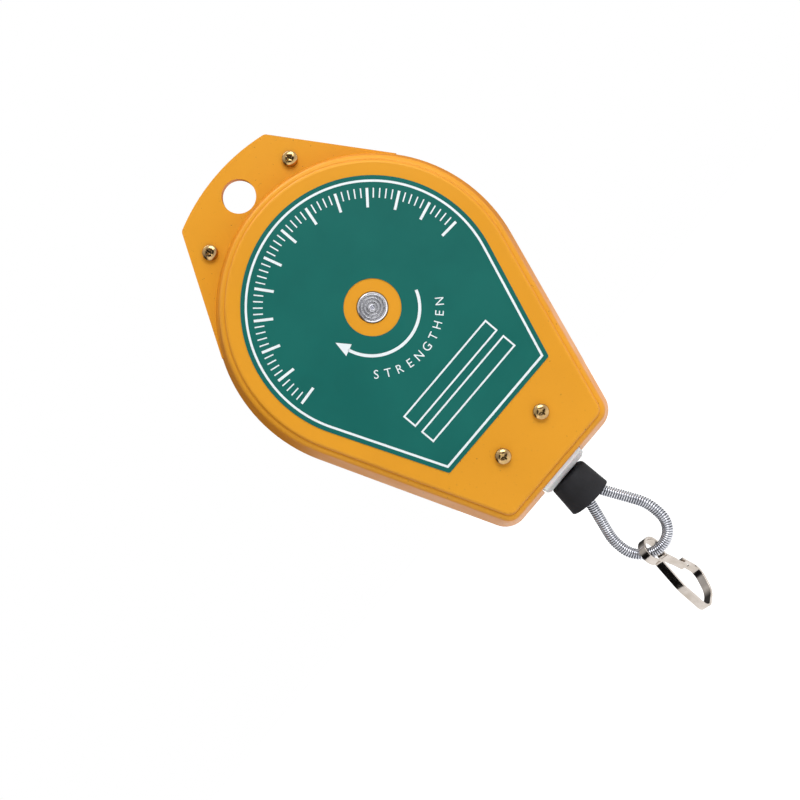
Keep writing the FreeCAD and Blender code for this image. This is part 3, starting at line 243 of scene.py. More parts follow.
@dataclass(frozen=True)
class Finish:
    """One finish: its colours, its gloss and its marks."""

    name: str
    colour: Colour
    shade: Colour
    metallic: float = 0.0
    roughness: float = 0.5
    roughness_spread: float = 0.06
    coat: float = 0.0
    patch_scale: float = 0.15
    grain: Grain = Grain.SPECKLED
    grain_scale: float = 4.0
    grain_depth: float = 0.01
    subsurface: float = 0.0
    sheen_level: float = 0.5
    sheen_colour: Colour = (1.0, 1.0, 1.0)
    coat_roughness: float = 0.18
    subsurface_reach: float = 1.5
    wear_finer: float = 4.0
    wear_range: Span = (0.3, 0.7)
    ring_range: Span = (0.45, 0.75)
    patch_range: Span = (0.35, 0.68)
    drawn_stretch: float = 0.06

    def build(self) -> bpy.types.Material:
        """Make the material.

        Returns:
            The material, with its nodes.
        """
        sheet = ShaderSheet(self.name)
        surface = sheet.surface
        surface.inputs["Metallic"].default_value = self.metallic
        surface.inputs["Coat Weight"].default_value = self.coat
        surface.inputs["Coat Roughness"].default_value = self.coat_roughness
        surface.inputs["Subsurface Weight"].default_value = self.subsurface
        surface.inputs["Subsurface Scale"].default_value = self.subsurface_reach * MM
        surface.inputs["Specular IOR Level"].default_value = self.sheen_level
        surface.inputs["Specular Tint"].default_value = (*self.sheen_colour, 1.0)
        where = sheet.place()
        colour = sheet.blend(self.patches(sheet, where), self.colour, self.shade)
        sheet.join(self.tint(sheet, where, colour), surface.inputs["Base Color"])
        wear = sheet.noise(where, self.patch_scale * self.wear_finer, 4.0)
        gloss = sheet.ramp(wear, *self.wear_range, self.roughness - self.roughness_spread,
                           self.roughness + self.roughness_spread)
        sheet.join(gloss, surface.inputs["Roughness"])
        self.mark(sheet, where)
        return sheet.material

    def rings(self, sheet: ShaderSheet) -> bpy.types.NodeSocket:
        """Draw rings round the spindle's axis, as a turning tool leaves them.

        Args:
            sheet: the material's nodes.

        Returns:
            The rings' socket, from 0 to 1.
        """
        centred = sheet.place(shift=(0.0, 0.0, SPINDLE_DROP))
        rings = sheet.add("ShaderNodeTexWave", wave_type="RINGS", rings_direction="Y",
                          Scale=self.grain_scale, Distortion=0.4, Detail=1.0)
        sheet.join(centred, rings.inputs["Vector"])
        return rings.outputs["Fac"]

    def patches(self, sheet: ShaderSheet, where: bpy.types.NodeSocket) -> bpy.types.NodeSocket:
        """Choose where the second colour lies: on the rings, or in soft patches.

        Args:
            sheet: the material's nodes.
            where: coordinates in millimetres.

        Returns:
            A socket that is 1 where the second colour lies.
        """
        if self.grain is Grain.TURNED:
            return sheet.ramp(self.rings(sheet), *self.ring_range)
        return sheet.ramp(sheet.noise(where, self.patch_scale), *self.patch_range)

    def tint(self, sheet: ShaderSheet, where: bpy.types.NodeSocket,
             colour: bpy.types.NodeSocket) -> bpy.types.NodeSocket:
        """Change the colour before it is used; a plain finish keeps it."""
        return colour

    def mark(self, sheet: ShaderSheet, where: bpy.types.NodeSocket) -> None:
        """Add the relief of the finish's grain.

        Args:
            sheet: the material's nodes.
            where: coordinates in millimetres.
        """
        if self.grain is Grain.SPECKLED:
            sheet.relief(sheet.noise(where, self.grain_scale, 2.0), self.grain_depth)
        elif self.grain is Grain.TURNED:
            sheet.relief(self.rings(sheet), self.grain_depth)
        elif self.grain is Grain.DRAWN:
            streaks = sheet.place(scale=(1.0, 1.0, self.drawn_stretch))
            sheet.relief(sheet.noise(streaks, self.grain_scale, 3.0), self.grain_depth)


@dataclass(frozen=True)
class Paint(Finish):
    """Sprayed paint with small dark chips along the rim, and painted shade that deepens the walls."""

    chip_colour: Colour = (0.055, 0.035, 0.02)
    chip_scale: float = 0.9
    chip_range: Span = (0.66, 0.675)
    chip_band: float = 1.1
    chip_band_edge: float = 0.4
    rim_radius: float = 50.4
    # Painted shade: the deeper colour that the walls take where they turn away from the front.
    wall_shade_colour: Colour = (0.67, 0.235, 0.010)
    wall_shade_range: Span = (0.35, 0.9)

    def tint(self, sheet: ShaderSheet, where: bpy.types.NodeSocket,
             colour: bpy.types.NodeSocket) -> bpy.types.NodeSocket:
        """Darken the walls with painted shade and add the chips.

        Args:
            sheet: the material's nodes.
            where: coordinates in millimetres.
            colour: the paint's colour.

        Returns:
            The colour with both.
        """
        split = sheet.add("ShaderNodeSeparateXYZ")
        sheet.join(where, split.inputs[0])
        level = sheet.math("ADD", split.outputs["Z"], SPINDLE_DROP)
        across = sheet.math("MULTIPLY", split.outputs["X"], split.outputs["X"])
        reach = sheet.math("SQRT", sheet.math("ADD", across, sheet.math("MULTIPLY", level, level)))
        band_start = self.rim_radius - self.chip_band
        band = sheet.ramp(reach, band_start - self.chip_band_edge, band_start)
        specks = sheet.noise(where, self.chip_scale, 5.0, 0.75)
        chips = sheet.math("MULTIPLY", sheet.ramp(specks, *self.chip_range), band)
        # Painted shade: where the normal turns away from the front (small |Y|), the walls blend to the
        # darker wall shade colour.
        facing = sheet.add("ShaderNodeSeparateXYZ")
        sheet.join(sheet.add("ShaderNodeTexCoord").outputs["Normal"], facing.inputs[0])
        flat = sheet.ramp(sheet.math("ABSOLUTE", facing.outputs["Y"]), *self.wall_shade_range)
        paint_with_wall_shade = sheet.blend(flat, self.wall_shade_colour, colour)
        return sheet.blend(chips, paint_with_wall_shade, self.chip_colour)


FINISHES: dict[str, Finish] = {
    "case_paint": Paint("case_paint", (0.725, 0.312, 0.022), (0.68, 0.288, 0.019),
                        roughness=0.4, sheen_level=0.4, sheen_colour=(1.0, 0.72, 0.36),
                        coat=0.02, patch_scale=0.03, grain_scale=1.4, grain_depth=0.012),
    "label_green": Finish("label_green", (0.004, 0.122, 0.102), (0.002, 0.108, 0.091),
                          roughness=0.5, roughness_spread=0.04, sheen_level=0.18, patch_scale=0.05,
                          grain_scale=6.0, grain_depth=0.003),
    "white_nylon": Finish("white_nylon", (0.70, 0.68, 0.67), (0.62, 0.60, 0.60), roughness=0.5,
                          patch_scale=0.2, subsurface=0.12, grain_scale=3.0, grain_depth=0.01),
    "yellow_zinc": Finish("yellow_zinc", (0.54, 0.36, 0.14), (0.34, 0.22, 0.11), metallic=1.0,
                          roughness=0.17, patch_scale=0.5, grain_scale=5.0, grain_depth=0.006),
    "bronze": Finish("bronze", (0.50, 0.29, 0.10), (0.40, 0.22, 0.08), metallic=1.0,
                     roughness=0.4, grain=Grain.TURNED, grain_scale=2.0, grain_depth=0.005),
    "bright_steel": Finish("bright_steel", (0.90, 0.90, 0.95), (0.60, 0.60, 0.66), metallic=1.0,
                           roughness=0.3, patch_scale=0.6, grain=Grain.TURNED, grain_scale=0.3,
                           grain_depth=0.035),
    "hard_steel": Finish("hard_steel", (0.20, 0.20, 0.22), (0.13, 0.13, 0.14), metallic=1.0,
                         roughness=0.38, grain_scale=3.0),
    "spring_steel": Finish("spring_steel", (0.26, 0.28, 0.34), (0.19, 0.20, 0.26), metallic=1.0,
                           roughness=0.34, grain=Grain.DRAWN, grain_scale=3.0, grain_depth=0.005),
    "cast_alloy": Finish("cast_alloy", (0.52, 0.52, 0.53), (0.43, 0.43, 0.44), metallic=1.0,
                         roughness=0.48, grain_scale=1.6, grain_depth=0.02),
    "wire_rope": Finish("wire_rope", (0.20, 0.21, 0.23), (0.12, 0.12, 0.14), metallic=1.0,
                        roughness=0.36, grain_scale=4.0, grain_depth=0.01),
    "crimp_alloy": Finish("crimp_alloy", (0.55, 0.54, 0.52), (0.46, 0.45, 0.43), metallic=1.0,
                          roughness=0.4),
    "black_rubber": Finish("black_rubber", (0.011, 0.011, 0.013), (0.016, 0.016, 0.019),
                           roughness=0.7, sheen_level=0.25, patch_scale=0.25, grain_scale=5.0,
                           grain_depth=0.02),
    "zinc_wire": Finish("zinc_wire", (0.62, 0.63, 0.67), (0.44, 0.45, 0.49), metallic=1.0,
                        roughness=0.16, patch_scale=0.3, grain=Grain.SMOOTH),
    "nickel": Finish("nickel", (0.56, 0.51, 0.47), (0.44, 0.39, 0.34), metallic=1.0,
                     roughness=0.12, roughness_spread=0.04, patch_scale=0.25, grain=Grain.DRAWN,
                     grain_scale=0.8, grain_depth=0.01),
    "print_white": Finish("print_white", (0.76, 0.82, 0.84), (0.72, 0.78, 0.80), roughness=0.5,
                          patch_scale=0.3, grain=Grain.SMOOTH),
}


# ------------------------------------------------------------------ mesh making

def new_piece(name: str, points: Iterable[Vector], faces: Iterable[Sequence[int]], finish: str,
              body: str, smooth: bool = True) -> bpy.types.Object:
    """Make a mesh piece that rides on a body.

    Args:
        name: the piece's name.
        points: its vertices, in metres.
        faces: its faces as vertex indices.
        finish: the finish's name.
        body: the body it moves with.
        smooth: whether its faces are shaded smooth.

    Returns:
        The new object.
    """
    mesh = bpy.data.meshes.new(name)
    mesh.from_pydata([tuple(point) for point in points], [], [tuple(face) for face in faces])
    mesh.validate()
    mesh.materials.append(MaterialShelf.get(finish))
    piece = bpy.data.objects.new(name, mesh)
    bpy.context.scene.collection.objects.link(piece)
    for polygon in mesh.polygons:
        polygon.use_smooth = smooth
    if body:
        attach(piece, body)
    return piece


def swept(path: Sequence[Vector], radius: float,
          sides: int) -> tuple[list[Vector], list[tuple[int, ...]]]:
    """Sweep a round section along points with frames that do not twist.

    Args:
        path: the centre line's points.
        radius: the section's radius.
        sides: how many sides the section has.

    Returns:
        The vertices and the faces, ends closed.
    """
    points: list[Vector] = []
    faces: list[tuple[int, ...]] = []
    along = (path[1] - path[0]).normalized()
    side = along.orthogonal().normalized()
    for index, middle in enumerate(path):
        ahead = path[min(index + 1, len(path) - 1)]
        behind = path[max(index - 1, 0)]
        heading = (ahead - behind).normalized()
        side = (side - heading * side.dot(heading)).normalized()
        up = heading.cross(side)
        for step in range(sides):
            angle = 2.0 * math.pi * step / sides
            points.append(middle + (side * math.cos(angle) + up * math.sin(angle)) * radius)
    for index in range(len(path) - 1):
        low, high = index * sides, (index + 1) * sides
        for step in range(sides):
            after = (step + 1) % sides
            faces.append((low + step, low + after, high + after, high + step))
    faces.append(tuple(reversed(range(sides))))
    last = (len(path) - 1) * sides
    faces.append(tuple(last + step for step in range(sides)))
    return points, faces


class MaterialShelf:
    """Keeps one material for each finish."""

    made: dict[str, bpy.types.Material] = {}

    @classmethod
    def get(cls, name: str) -> bpy.types.Material:
        """Give the material of a finish, made when first asked for.

        Args:
            name: the finish's name.

        Returns:
            The one material of that finish.
        """
        if name not in cls.made:
            cls.made[name] = FINISHES[name].build()
        return cls.made[name]


# ------------------------------------------------------------------ sub-assemblies

@dataclass
class CarriedNodes:
    """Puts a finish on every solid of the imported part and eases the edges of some."""

    eased: dict[str, float] = field(default_factory=lambda: {
        "snap_hook": 0.16, "hook_gate": 0.12, "guide_block": 0.25, "spindle": 0.12,
        "ratchet_wheel": 0.08, "case_nuts": 0.12, "ear_screws": 0.1, "case_screws": 0.1,
        "pawl": 0.12, "rope_anchor": 0.2, "ferrule": 0.2})
    weld_reach: float = 0.002
    sharp_angle: float = 40.0

    def dress(self, frame: dict) -> None:
        """Assign the finishes and add the edge modifiers.
        """
        slots = {part["node"]: part["material_slot"] for part in frame["record"]["subparts"]}
        for node, piece in frame["nodes"].items():
            material = MaterialShelf.get(slots[node])
            if not piece.material_slots:
                piece.data.materials.append(material)
            for slot in piece.material_slots:
                slot.material = material
            if node in self.eased:
                self.ease(piece, self.eased[node])
            LOG.info("%s: %s", node, slots[node])

    def ease(self, piece: bpy.types.Object, width: float) -> None:
        """Round a solid's sharp edges.

        Args:
            piece: the solid's object.
            width: the width of the rounding, in millimetres.
        """
        weld = piece.modifiers.new("weld", "WELD")
        weld.merge_threshold = self.weld_reach * MM
        bevel = piece.modifiers.new("eased", "BEVEL")
        bevel.width = width * MM
        bevel.segments = 2
        bevel.limit_method = "ANGLE"
        bevel.angle_limit = math.radians(self.sharp_angle)
        bevel.harden_normals = False
        normals = piece.modifiers.new("normals", "WEIGHTED_NORMAL")
        normals.keep_sharp = False


@dataclass
class LabelPrint:
    """The white print on the label: border line, arrow, legend and scale."""

    face_depth: float = 11.2
    print_height: float = 0.03
    radius: float = 40.5
    side_angle: float = 21.5
    drop: float = 50.9
    border_inset: float = 1.35
    border_width: float = 0.72
    border_steps: int = 120
    arrow_radius: float = 15.0
    arrow_width: float = 0.95
    arrow_start: float = -28.0
    arrow_end: float = 191.0
    arrow_steps: int = 64
    arrow_drift: float = 0.6
    head_length: float = 17.0
    head_half_width: float = 2.0
    head_skew: float = 0.02
    tip_drift: float = 0.7
    legend: str = "STRENGTHEN"
    legend_radius: float = 21.9
    legend_height: float = 2.7
    legend_span: Span = (223.5, 315.5)
    capital_share: float = 0.70
    letter_squeeze: float = 0.95
    scale_marks: int = 61
    scale_start: float = 184.0
    scale_sweep: float = 188.0
    scale_outer: float = 36.6
    long_inner: float = 30.6
    long_half_width: float = 0.42
    short_inner: float = 33.6
    short_half_width: float = 0.2
    marks_per_long: int = 5
    field_lows: Span = (-33.8, -41.0)
    field_half_width: float = 19.5
    field_height: float = 5.0
    field_line: float = 0.55

    def at(self, x: float, z: float, lift: float = 0.0) -> Vector:
        """A point on the label from its place about the spindle, in millimetres."""
        return Vector((x, -(self.face_depth + lift), z - SPINDLE_DROP)) * MM

    def outline(self, inset: float) -> list[tuple[float, float]]:
        """The label's outline moved in by inset.

        Args:
            inset: how far in, in millimetres.

        Returns:
            The outline's points, clockwise from the lower right corner.
        """
        radius, drop = self.radius - inset, self.drop - inset
        lean = math.radians(self.side_angle)
        corner = (radius - drop * math.sin(lean)) / math.cos(lean)
        points = [(corner, -drop), (-corner, -drop)]
        for step in range(self.border_steps + 1):
            angle = math.pi + lean - (math.pi + 2.0 * lean) * step / self.border_steps
            points.append((radius * math.cos(angle), radius * math.sin(angle)))
        return points

    def raised(self, name: str, outline: Sequence[tuple[float, float]],
               faces: Sequence[Sequence[int]]) -> bpy.types.Object:
        """Make a thin raised print from flat points and faces.

        Args:
            name: the piece's name.
            outline: flat points about the spindle.
            faces: faces over these points.

        Returns:
            The new piece.
        """
        points = [self.at(x, z, self.print_height) for x, z in outline]
        return new_piece(name, points, faces, "print_white", CASE_BODY, smooth=False)

    def border(self) -> None:
        """The thin line inside the label's edge."""
        outer = self.outline(self.border_inset)
        inner = self.outline(self.border_inset + self.border_width)
        count = len(outer)
        faces = [(step, (step + 1) % count, count + (step + 1) % count, count + step)
                 for step in range(count)]
        self.raised("label_border", outer + inner, faces)

    def arrow(self) -> None:
        """The curved arrow under the spindle, which opens outwards to its head."""
        points: list[tuple[float, float]] = []
        sweep = self.arrow_end - 360.0 - self.arrow_start
        half = self.arrow_width / 2.0
        for step in range(self.arrow_steps + 1):
            share = step / self.arrow_steps
            angle = math.radians(self.arrow_start + sweep * share)
            middle = self.arrow_radius - self.arrow_drift * (1.0 - share)
            for radius in (middle - half, middle + half):
                points.append((radius * math.cos(angle), radius * math.sin(angle)))
        faces: list[tuple[int, ...]] = [(2 * step, 2 * step + 1, 2 * step + 3, 2 * step + 2)
                                        for step in range(self.arrow_steps)]
        head = math.radians(self.arrow_end)
        tip = math.radians(self.arrow_end - self.head_length)
        base = len(points)
        for radius, angle in ((self.arrow_radius - self.head_half_width, head),
                              (self.arrow_radius + self.head_half_width, head + self.head_skew),
                              (self.arrow_radius + self.tip_drift, tip)):
            points.append((radius * math.cos(angle), radius * math.sin(angle)))
        faces.append((base, base + 1, base + 2))
        self.raised("label_arrow", points, faces)

    def letters(self) -> None:
        """The legend that reads along the arrow, one glyph at a time."""
        gaps = len(self.legend) - 1
        first, last = self.legend_span
        points: list[Vector] = []
        faces: list[tuple[int, ...]] = []
        for index, letter in enumerate(self.legend):
            curve = bpy.data.curves.new("glyph", "FONT")
            curve.body = letter
            curve.align_x = "CENTER"
            curve.size = self.legend_height / self.capital_share
            holder = bpy.data.objects.new("glyph", curve)
            bpy.context.scene.collection.objects.link(holder)
            flat = bpy.data.meshes.new_from_object(holder)
            angle = math.radians(first + (last - first) * index / gaps)
            turn = Matrix.Rotation(angle + math.pi / 2.0, 2)
            base = len(points)
            for vertex in flat.vertices:
                spot = turn @ Vector((vertex.co.x * self.letter_squeeze, vertex.co.y))
                x = self.legend_radius * math.cos(angle) + spot.x
                z = self.legend_radius * math.sin(angle) + spot.y
                points.append(self.at(x, z, self.print_height))
            faces.extend(tuple(base + corner for corner in polygon.vertices)
                         for polygon in flat.polygons)
            bpy.data.objects.remove(holder)
            bpy.data.curves.remove(curve)
            bpy.data.meshes.remove(flat)
        new_piece("label_legend", points, faces, "print_white", CASE_BODY, smooth=False)

    def scale(self) -> None:
        """A plain graduated arc round the upper part of the label."""
        points: list[tuple[float, float]] = []
        faces: list[tuple[int, ...]] = []
        for mark in range(self.scale_marks):
            angle = math.radians(self.scale_start - self.scale_sweep * mark / (self.scale_marks - 1))
            long_mark = mark % self.marks_per_long == 0
            inner = self.long_inner if long_mark else self.short_inner
            half = self.long_half_width if long_mark else self.short_half_width
            outer = self.scale_outer
            radial = Vector((math.cos(angle), math.sin(angle)))
            across = Vector((-radial.y, radial.x)) * half
            base = len(points)
            for radius, sign in ((inner, -1), (outer, -1), (outer, 1), (inner, 1)):
                spot = radial * radius + across * sign
                points.append((spot.x, spot.y))
            faces.append((base, base + 1, base + 2, base + 3))
        self.raised("label_scale", points, faces)

    def fields(self) -> None:
        """Two blank boxes to write in, in the lower part of the label."""
        points: list[tuple[float, float]] = []
        faces: list[tuple[int, ...]] = []
        for low in self.field_lows:
            base = len(points)
            for inset in (0.0, self.field_line):
                half = self.field_half_width - inset
                bottom, top = low + inset, low + self.field_height - inset
                points.extend([(-half, bottom), (half, bottom), (half, top), (-half, top)])
            for step in range(4):
                after = (step + 1) % 4
                faces.append((base + step, base + after, base + 4 + after, base + 4 + step))
        self.raised("label_fields", points, faces)

    def build(self) -> None:
        """Make all the print."""
        self.border()
        self.arrow()
        self.letters()
        self.scale()
        self.fields()
        LOG.info("label print: border, arrow, legend, scale, fields")


@dataclass
class RopeLoop:
    """The rope loop below the buffer and the close-wound wire sleeve on it."""

    yaw: float = -20.0
    leg_left: float = -0.64
    leg_right: float = 1.98
    foot_drop: float = 88.5
    offset: float = 1.75
    drop: float = 109.8
    radius: float = 8.4
    shoulder: float = 14.0
    straight: float = 1.5
    sleeve_drop: float = 90.7
    wire: float = 0.66
    coil_radius: float = 1.8
    pitch: float = 0.76
    leg_steps: int = 12
    shoulder_steps: int = 24
    bottom_steps: int = 48
    turn_steps: int = 14
    wire_sides: int = 8

    def side(self, sign: int) -> list[Vector]:
        """One side of the loop's centre line, from the ferrule down.

        Args:
            sign: -1 for the left side and 1 for the right.

        Returns:
            Points in the loop's own plane, in millimetres.
        """
        leg = self.leg_left if sign < 0 else self.leg_right
        high = -self.drop + self.straight
        pivot = Vector((self.offset + sign * (self.radius - self.shoulder), 0.0, high))
        foot = Vector((leg, 0.0, -self.foot_drop))
        gap = pivot - foot
        lean = math.asin(self.shoulder / gap.length) + math.atan2(gap.x * sign, -gap.z)
        along = Vector((sign * math.sin(lean), 0.0, -math.cos(lean)))
        touch = foot + along * math.sqrt(gap.length ** 2 - self.shoulder ** 2)
        begin = foot + along * ((-self.sleeve_drop - foot.z) / along.z)
        points = [begin + (touch - begin) * step / self.leg_steps
                  for step in range(self.leg_steps)]
        lean_out = math.atan2(touch.z - pivot.z, (touch.x - pivot.x) * sign)
        for step in range(self.shoulder_steps):
            angle = lean_out * (1.0 - step / self.shoulder_steps)
            outward = Vector((sign * math.cos(angle), 0.0, math.sin(angle)))
            points.append(pivot + outward * self.shoulder)
        points.append(Vector((self.offset + sign * self.radius, 0.0, high)))
        return points

    def centre_line(self) -> list[Vector]:
        """Join both sides round the bottom of the loop.

        Returns:
            The sleeve's centre line in the part's own frame, in metres.
        """
        left, right = self.side(-1), self.side(1)
        bottom: list[Vector] = []
        for step in range(self.bottom_steps + 1):
            angle = math.pi + math.pi * step / self.bottom_steps
            bottom.append(Vector((self.offset + self.radius * math.cos(angle), 0.0,
                                  -self.drop + self.radius * math.sin(angle))))
        turn = Matrix.Rotation(math.radians(self.yaw), 3, "Z")
        place = Vector((0.0, 0.0, -SPINDLE_DROP))
        return [(turn @ point + place) * MM for point in left + bottom + right[::-1]]

    def coil(self, line: Sequence[Vector]) -> list[Vector]:
        """Wind a helix round a planar line.

        Args:
            line: the centre line, in metres.

        Returns:
            The wire's centre line.
        """
        lengths = [0.0]
        for before, after in zip(line, line[1:]):
            lengths.append(lengths[-1] + (after - before).length)
        turns = lengths[-1] / (self.pitch * MM)
        normal = Matrix.Rotation(math.radians(self.yaw), 3, "Z") @ Vector((0.0, 1.0, 0.0))
        wound: list[Vector] = []
        index = 0
        total = int(turns * self.turn_steps)
        reach = (self.coil_radius - self.wire / 2.0) * MM
        for step in range(total + 1):
            distance = lengths[-1] * step / total
            while index < len(lengths) - 2 and lengths[index + 1] < distance:
                index += 1
            span = lengths[index + 1] - lengths[index]
            share = (distance - lengths[index]) / span if span else 0.0
            middle = line[index].lerp(line[index + 1], share)
            heading = (line[index + 1] - line[index]).normalized()
            side = heading.cross(normal)
            angle = 2.0 * math.pi * turns * step / total
            wound.append(middle + (side * math.cos(angle) + normal * math.sin(angle)) * reach)
        return wound

    def build(self) -> None:
        """Make the wound sleeve, which stands for the plain tube."""
        wire_line = self.coil(self.centre_line())
        points, faces = swept(wire_line, self.wire / 2.0 * MM, self.wire_sides)
        sleeve = new_piece("wound_sleeve", points, faces, "zinc_wire", ROPE_BODY)
        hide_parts("loop_sleeve")
        LOG.info("wound_sleeve: %d points", len(points))


@dataclass
class RopeTail:
    """The stretch of rope in the guide block; in the part it lengthens as the rope is drawn, while this
    piece keeps one length.
    """

    high: float = 75.0
    low: float = 83.2
    strands: int = 6
    radius: float = 1.0
    lay: float = 9.0
    rings: int = 40
    strand_sides: int = 6
    groove: float = 0.16

    def at(self, drop: float, reach: float = 0.0, angle: float = 0.0) -> Vector:
        """A place a drop below the spindle and a reach from the rope's axis."""
        return Vector((reach * math.cos(angle), reach * math.sin(angle), -drop - SPINDLE_DROP)) * MM

    def build(self) -> None:
        """Make the stranded rope as one fixed piece, attached to no body."""
        sides = self.strands * self.strand_sides
        points: list[Vector] = []
        faces: list[tuple[int, ...]] = []
        for ring in range(self.rings + 1):
            drop = self.high + (self.low - self.high) * ring / self.rings
            twist = 2.0 * math.pi * drop / self.lay
            for step in range(sides):
                angle = 2.0 * math.pi * step / sides
                lobe = abs(math.cos(self.strands * (angle - twist) / 2.0))
                reach = self.radius * (1.0 - self.groove + self.groove * lobe)
                points.append(self.at(drop, reach, angle))
        for ring in range(self.rings):
            for step in range(sides):
                after = (step + 1) % sides
                low, high = ring * sides, (ring + 1) * sides
                faces.append((low + step, high + step, high + after, low + after))
        tail = new_piece("stranded_tail", points, faces, "wire_rope", "")
        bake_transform(tail)
        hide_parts("rope_tail")
        LOG.info("stranded_tail: %d points", len(points))


@dataclass
class LeafSpring:
    """The pawl's leaf spring, which sits between its post and the pawl's back."""

    post: Span = (2.0, 16.2)
    tip: Span = (-3.6, 12.1)
    depth: float = 9.7

    def at(self, spot: Span) -> Vector:
        """A place beside the spindle, from millimetres about it."""
        return Vector((spot[0], self.depth, spot[1] - SPINDLE_DROP)) * MM

    def build(self, frame: dict) -> None:
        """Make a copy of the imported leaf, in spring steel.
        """
        solid = frame["nodes"]["pawl_spring"]
        mesh = solid.data.copy()
        mesh.transform(solid.matrix_world)
        leaf = bpy.data.objects.new("bending_leaf", mesh)
        bpy.context.scene.collection.objects.link(leaf)
        leaf.material_slots[0].material = MaterialShelf.get("spring_steel")
        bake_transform(leaf)
        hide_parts("pawl_spring")
        LOG.info("bending_leaf: %d points", len(mesh.vertices))


# ------------------------------------------------------------------ studio

@dataclass
class Lamp:
    """One soft area light: where it is, what it faces, its size and its power."""

    name: str
    place: Vector
    size: float
    power: float
    aim: Vector = field(default_factory=lambda: Vector((0.0, 0.0, -0.08)))

    def build(self) -> None:
        """Make the light."""
        data = bpy.data.lights.new(self.name, "AREA")
        data.shape = "DISK"
        data.size = self.size
        data.energy = self.power
        lamp = bpy.data.objects.new(self.name, data)
        lamp.location = self.place
        lamp.rotation_euler = (self.aim - self.place).to_track_quat("-Z", "Y").to_euler()
        bpy.context.scene.collection.objects.link(lamp)


@dataclass(frozen=True)
class Card:
    """A dark card in the surround: its side, the angles of its soft edge and its level."""

    side: Vector
    inner: float
    outer: float
    level: float


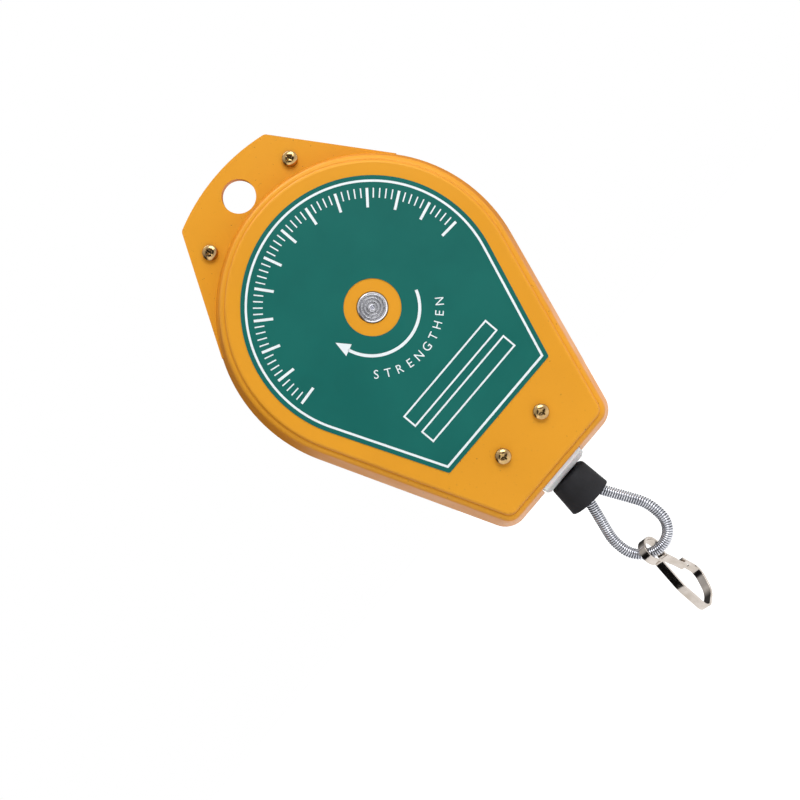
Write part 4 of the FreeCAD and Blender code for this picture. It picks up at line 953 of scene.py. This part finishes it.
@dataclass
class Studio:
    """A pale floor, soft light and the camera."""

    camera_place: Vector = field(default_factory=lambda: Vector((-0.0162, -0.288, -0.0808)))
    roll: float = 40.3
    lens: float = 40.68
    sensor_width: float = 36.0
    clip: Span = (0.01, 50.0)
    floor_level: float = -0.5
    floor_size: float = 6.0
    floor_glow: float = 0.55
    floor_colour: Colour = (0.86, 0.86, 0.86)
    floor_roughness: float = 0.9
    ambient: float = 1.0
    cards: tuple[Card, ...] = (Card(Vector((0.0, 1.0, 0.0)), 25.0, 88.0, 0.06),
                               Card(Vector((-0.74, 0.0, -0.67)), 25.0, 125.0, 0.1),
                               Card(Vector((0.0, -1.0, 0.0)), 14.0, 40.0, 0.04),
                               Card(Vector((-0.97, -0.2, 0.12)), 16.0, 30.0, 0.04))
    lamps: tuple[Lamp, ...] = (
        Lamp("key", Vector((0.55, -0.75, 0.42)), 0.7, 6.6),
        Lamp("fill", Vector((-0.75, -0.8, -0.35)), 0.9, 2.0),
        Lamp("crown", Vector((0.25, 0.1, 0.9)), 0.7, 3.0),
    )

    def camera(self) -> None:
        """Place the camera in front, rolled so that the rope runs down to the right."""
        data = bpy.data.cameras.new("camera")
        data.sensor_width = self.sensor_width
        data.lens = self.lens
        data.clip_start, data.clip_end = self.clip
        camera = bpy.data.objects.new("camera", data)
        sine, cosine = math.sin(math.radians(self.roll)), math.cos(math.radians(self.roll))
        right = Vector((sine, 0.0, -cosine))
        up = Vector((cosine, 0.0, sine))
        turn = Matrix((right, up, right.cross(up))).transposed()
        camera.matrix_world = Matrix.Translation(self.camera_place) @ turn.to_4x4()
        bpy.context.scene.collection.objects.link(camera)
        bpy.context.scene.camera = camera

    @staticmethod
    def rays(sheet: NodeSheet, *kinds: str) -> bpy.types.NodeSocket:
        """Pick out rays by their kind.

        Args:
            sheet: the nodes to add to.
            kinds: the Light Path outputs that count.

        Returns:
            A socket that is 1 for a ray of any of these kinds.
        """
        path = sheet.add("ShaderNodeLightPath")
        picked, *others = [path.outputs[kind] for kind in kinds]
        for other in others:
            picked = sheet.math("MAXIMUM", picked, other)
        return picked

    def floor(self) -> None:
        """A large pale floor well below the part."""
        half = self.floor_size / 2.0
        corners = [Vector((x * half, y * half, self.floor_level))
                   for x, y in ((-1, -1), (1, -1), (1, 1), (-1, 1))]
        sheet = ShaderSheet("pale_floor")
        surface = sheet.surface
        surface.inputs["Base Color"].default_value = (*self.floor_colour, 1.0)
        surface.inputs["Roughness"].default_value = self.floor_roughness
        surface.inputs["Emission Color"].default_value = (1.0, 1.0, 1.0, 1.0)
        seen = self.rays(sheet, "Is Camera Ray", "Is Glossy Ray", "Is Transmission Ray")
        glow = sheet.math("MULTIPLY", seen, self.floor_glow)
        sheet.join(glow, surface.inputs["Emission Strength"])
        MaterialShelf.made["pale_floor"] = sheet.material
        floor = new_piece("floor", corners, [(0, 1, 2, 3)], "pale_floor", "", smooth=False)

    @staticmethod
    def shade(sheet: NodeSheet, card: Card) -> bpy.types.NodeSocket:
        """Darken the directions that a card covers.

        Args:
            sheet: the surround's nodes.
            card: the card.

        Returns:
            A socket from the card's level, at its middle, to 1 outside it.
        """
        facing = sheet.add("ShaderNodeVectorMath", operation="DOT_PRODUCT")
        sheet.join(sheet.add("ShaderNodeTexCoord").outputs["Generated"], facing.inputs[0])
        facing.inputs[1].default_value = card.side.normalized()
        edge, middle = (math.cos(math.radians(angle)) for angle in (card.outer, card.inner))
        shaded = sheet.ramp(facing.outputs["Value"], edge, middle, 1.0, card.level)
        shaded.node.interpolation_type = "SMOOTHSTEP"
        return shaded

    def world(self) -> None:
        """A white surround for the eye; light and metal meet dark cards in it as well."""
        world = bpy.data.worlds.new("surround")
        world.use_nodes = True
        bpy.context.scene.world = world
        sheet = NodeSheet(world.node_tree)
        back = sheet.tree.nodes["Background"]
        back.inputs["Color"].default_value = (1.0, 1.0, 1.0, 1.0)
        tent: object = self.ambient
        for card in self.cards:
            tent = sheet.math("MULTIPLY", self.shade(sheet, card), tent)
        chosen = sheet.add("ShaderNodeMix", data_type="FLOAT")
        sheet.join(self.rays(sheet, "Is Camera Ray", "Is Transmission Ray"), chosen.inputs[0])
        sheet.join(tent, chosen.inputs[2])
        chosen.inputs[3].default_value = 1.0
        sheet.join(chosen.outputs[0], back.inputs["Strength"])

    def build(self) -> None:
        """Make the studio."""
        self.camera()
        self.world()
        self.floor()
        for lamp in self.lamps:
            lamp.build()
        bpy.context.scene.view_settings.view_transform = "Standard"
        LOG.info("studio: %d lamps", len(self.lamps))


def main() -> None:
    """Build the classes in order."""
    logging.basicConfig(level=logging.INFO, format="%(name)s: %(message)s")
    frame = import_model()
    Studio().build()
    CarriedNodes().dress(frame)
    LabelPrint().build()
    RopeLoop().build()
    RopeTail().build()
    LeafSpring().build(frame)


if __name__ == "__main__":
    main()
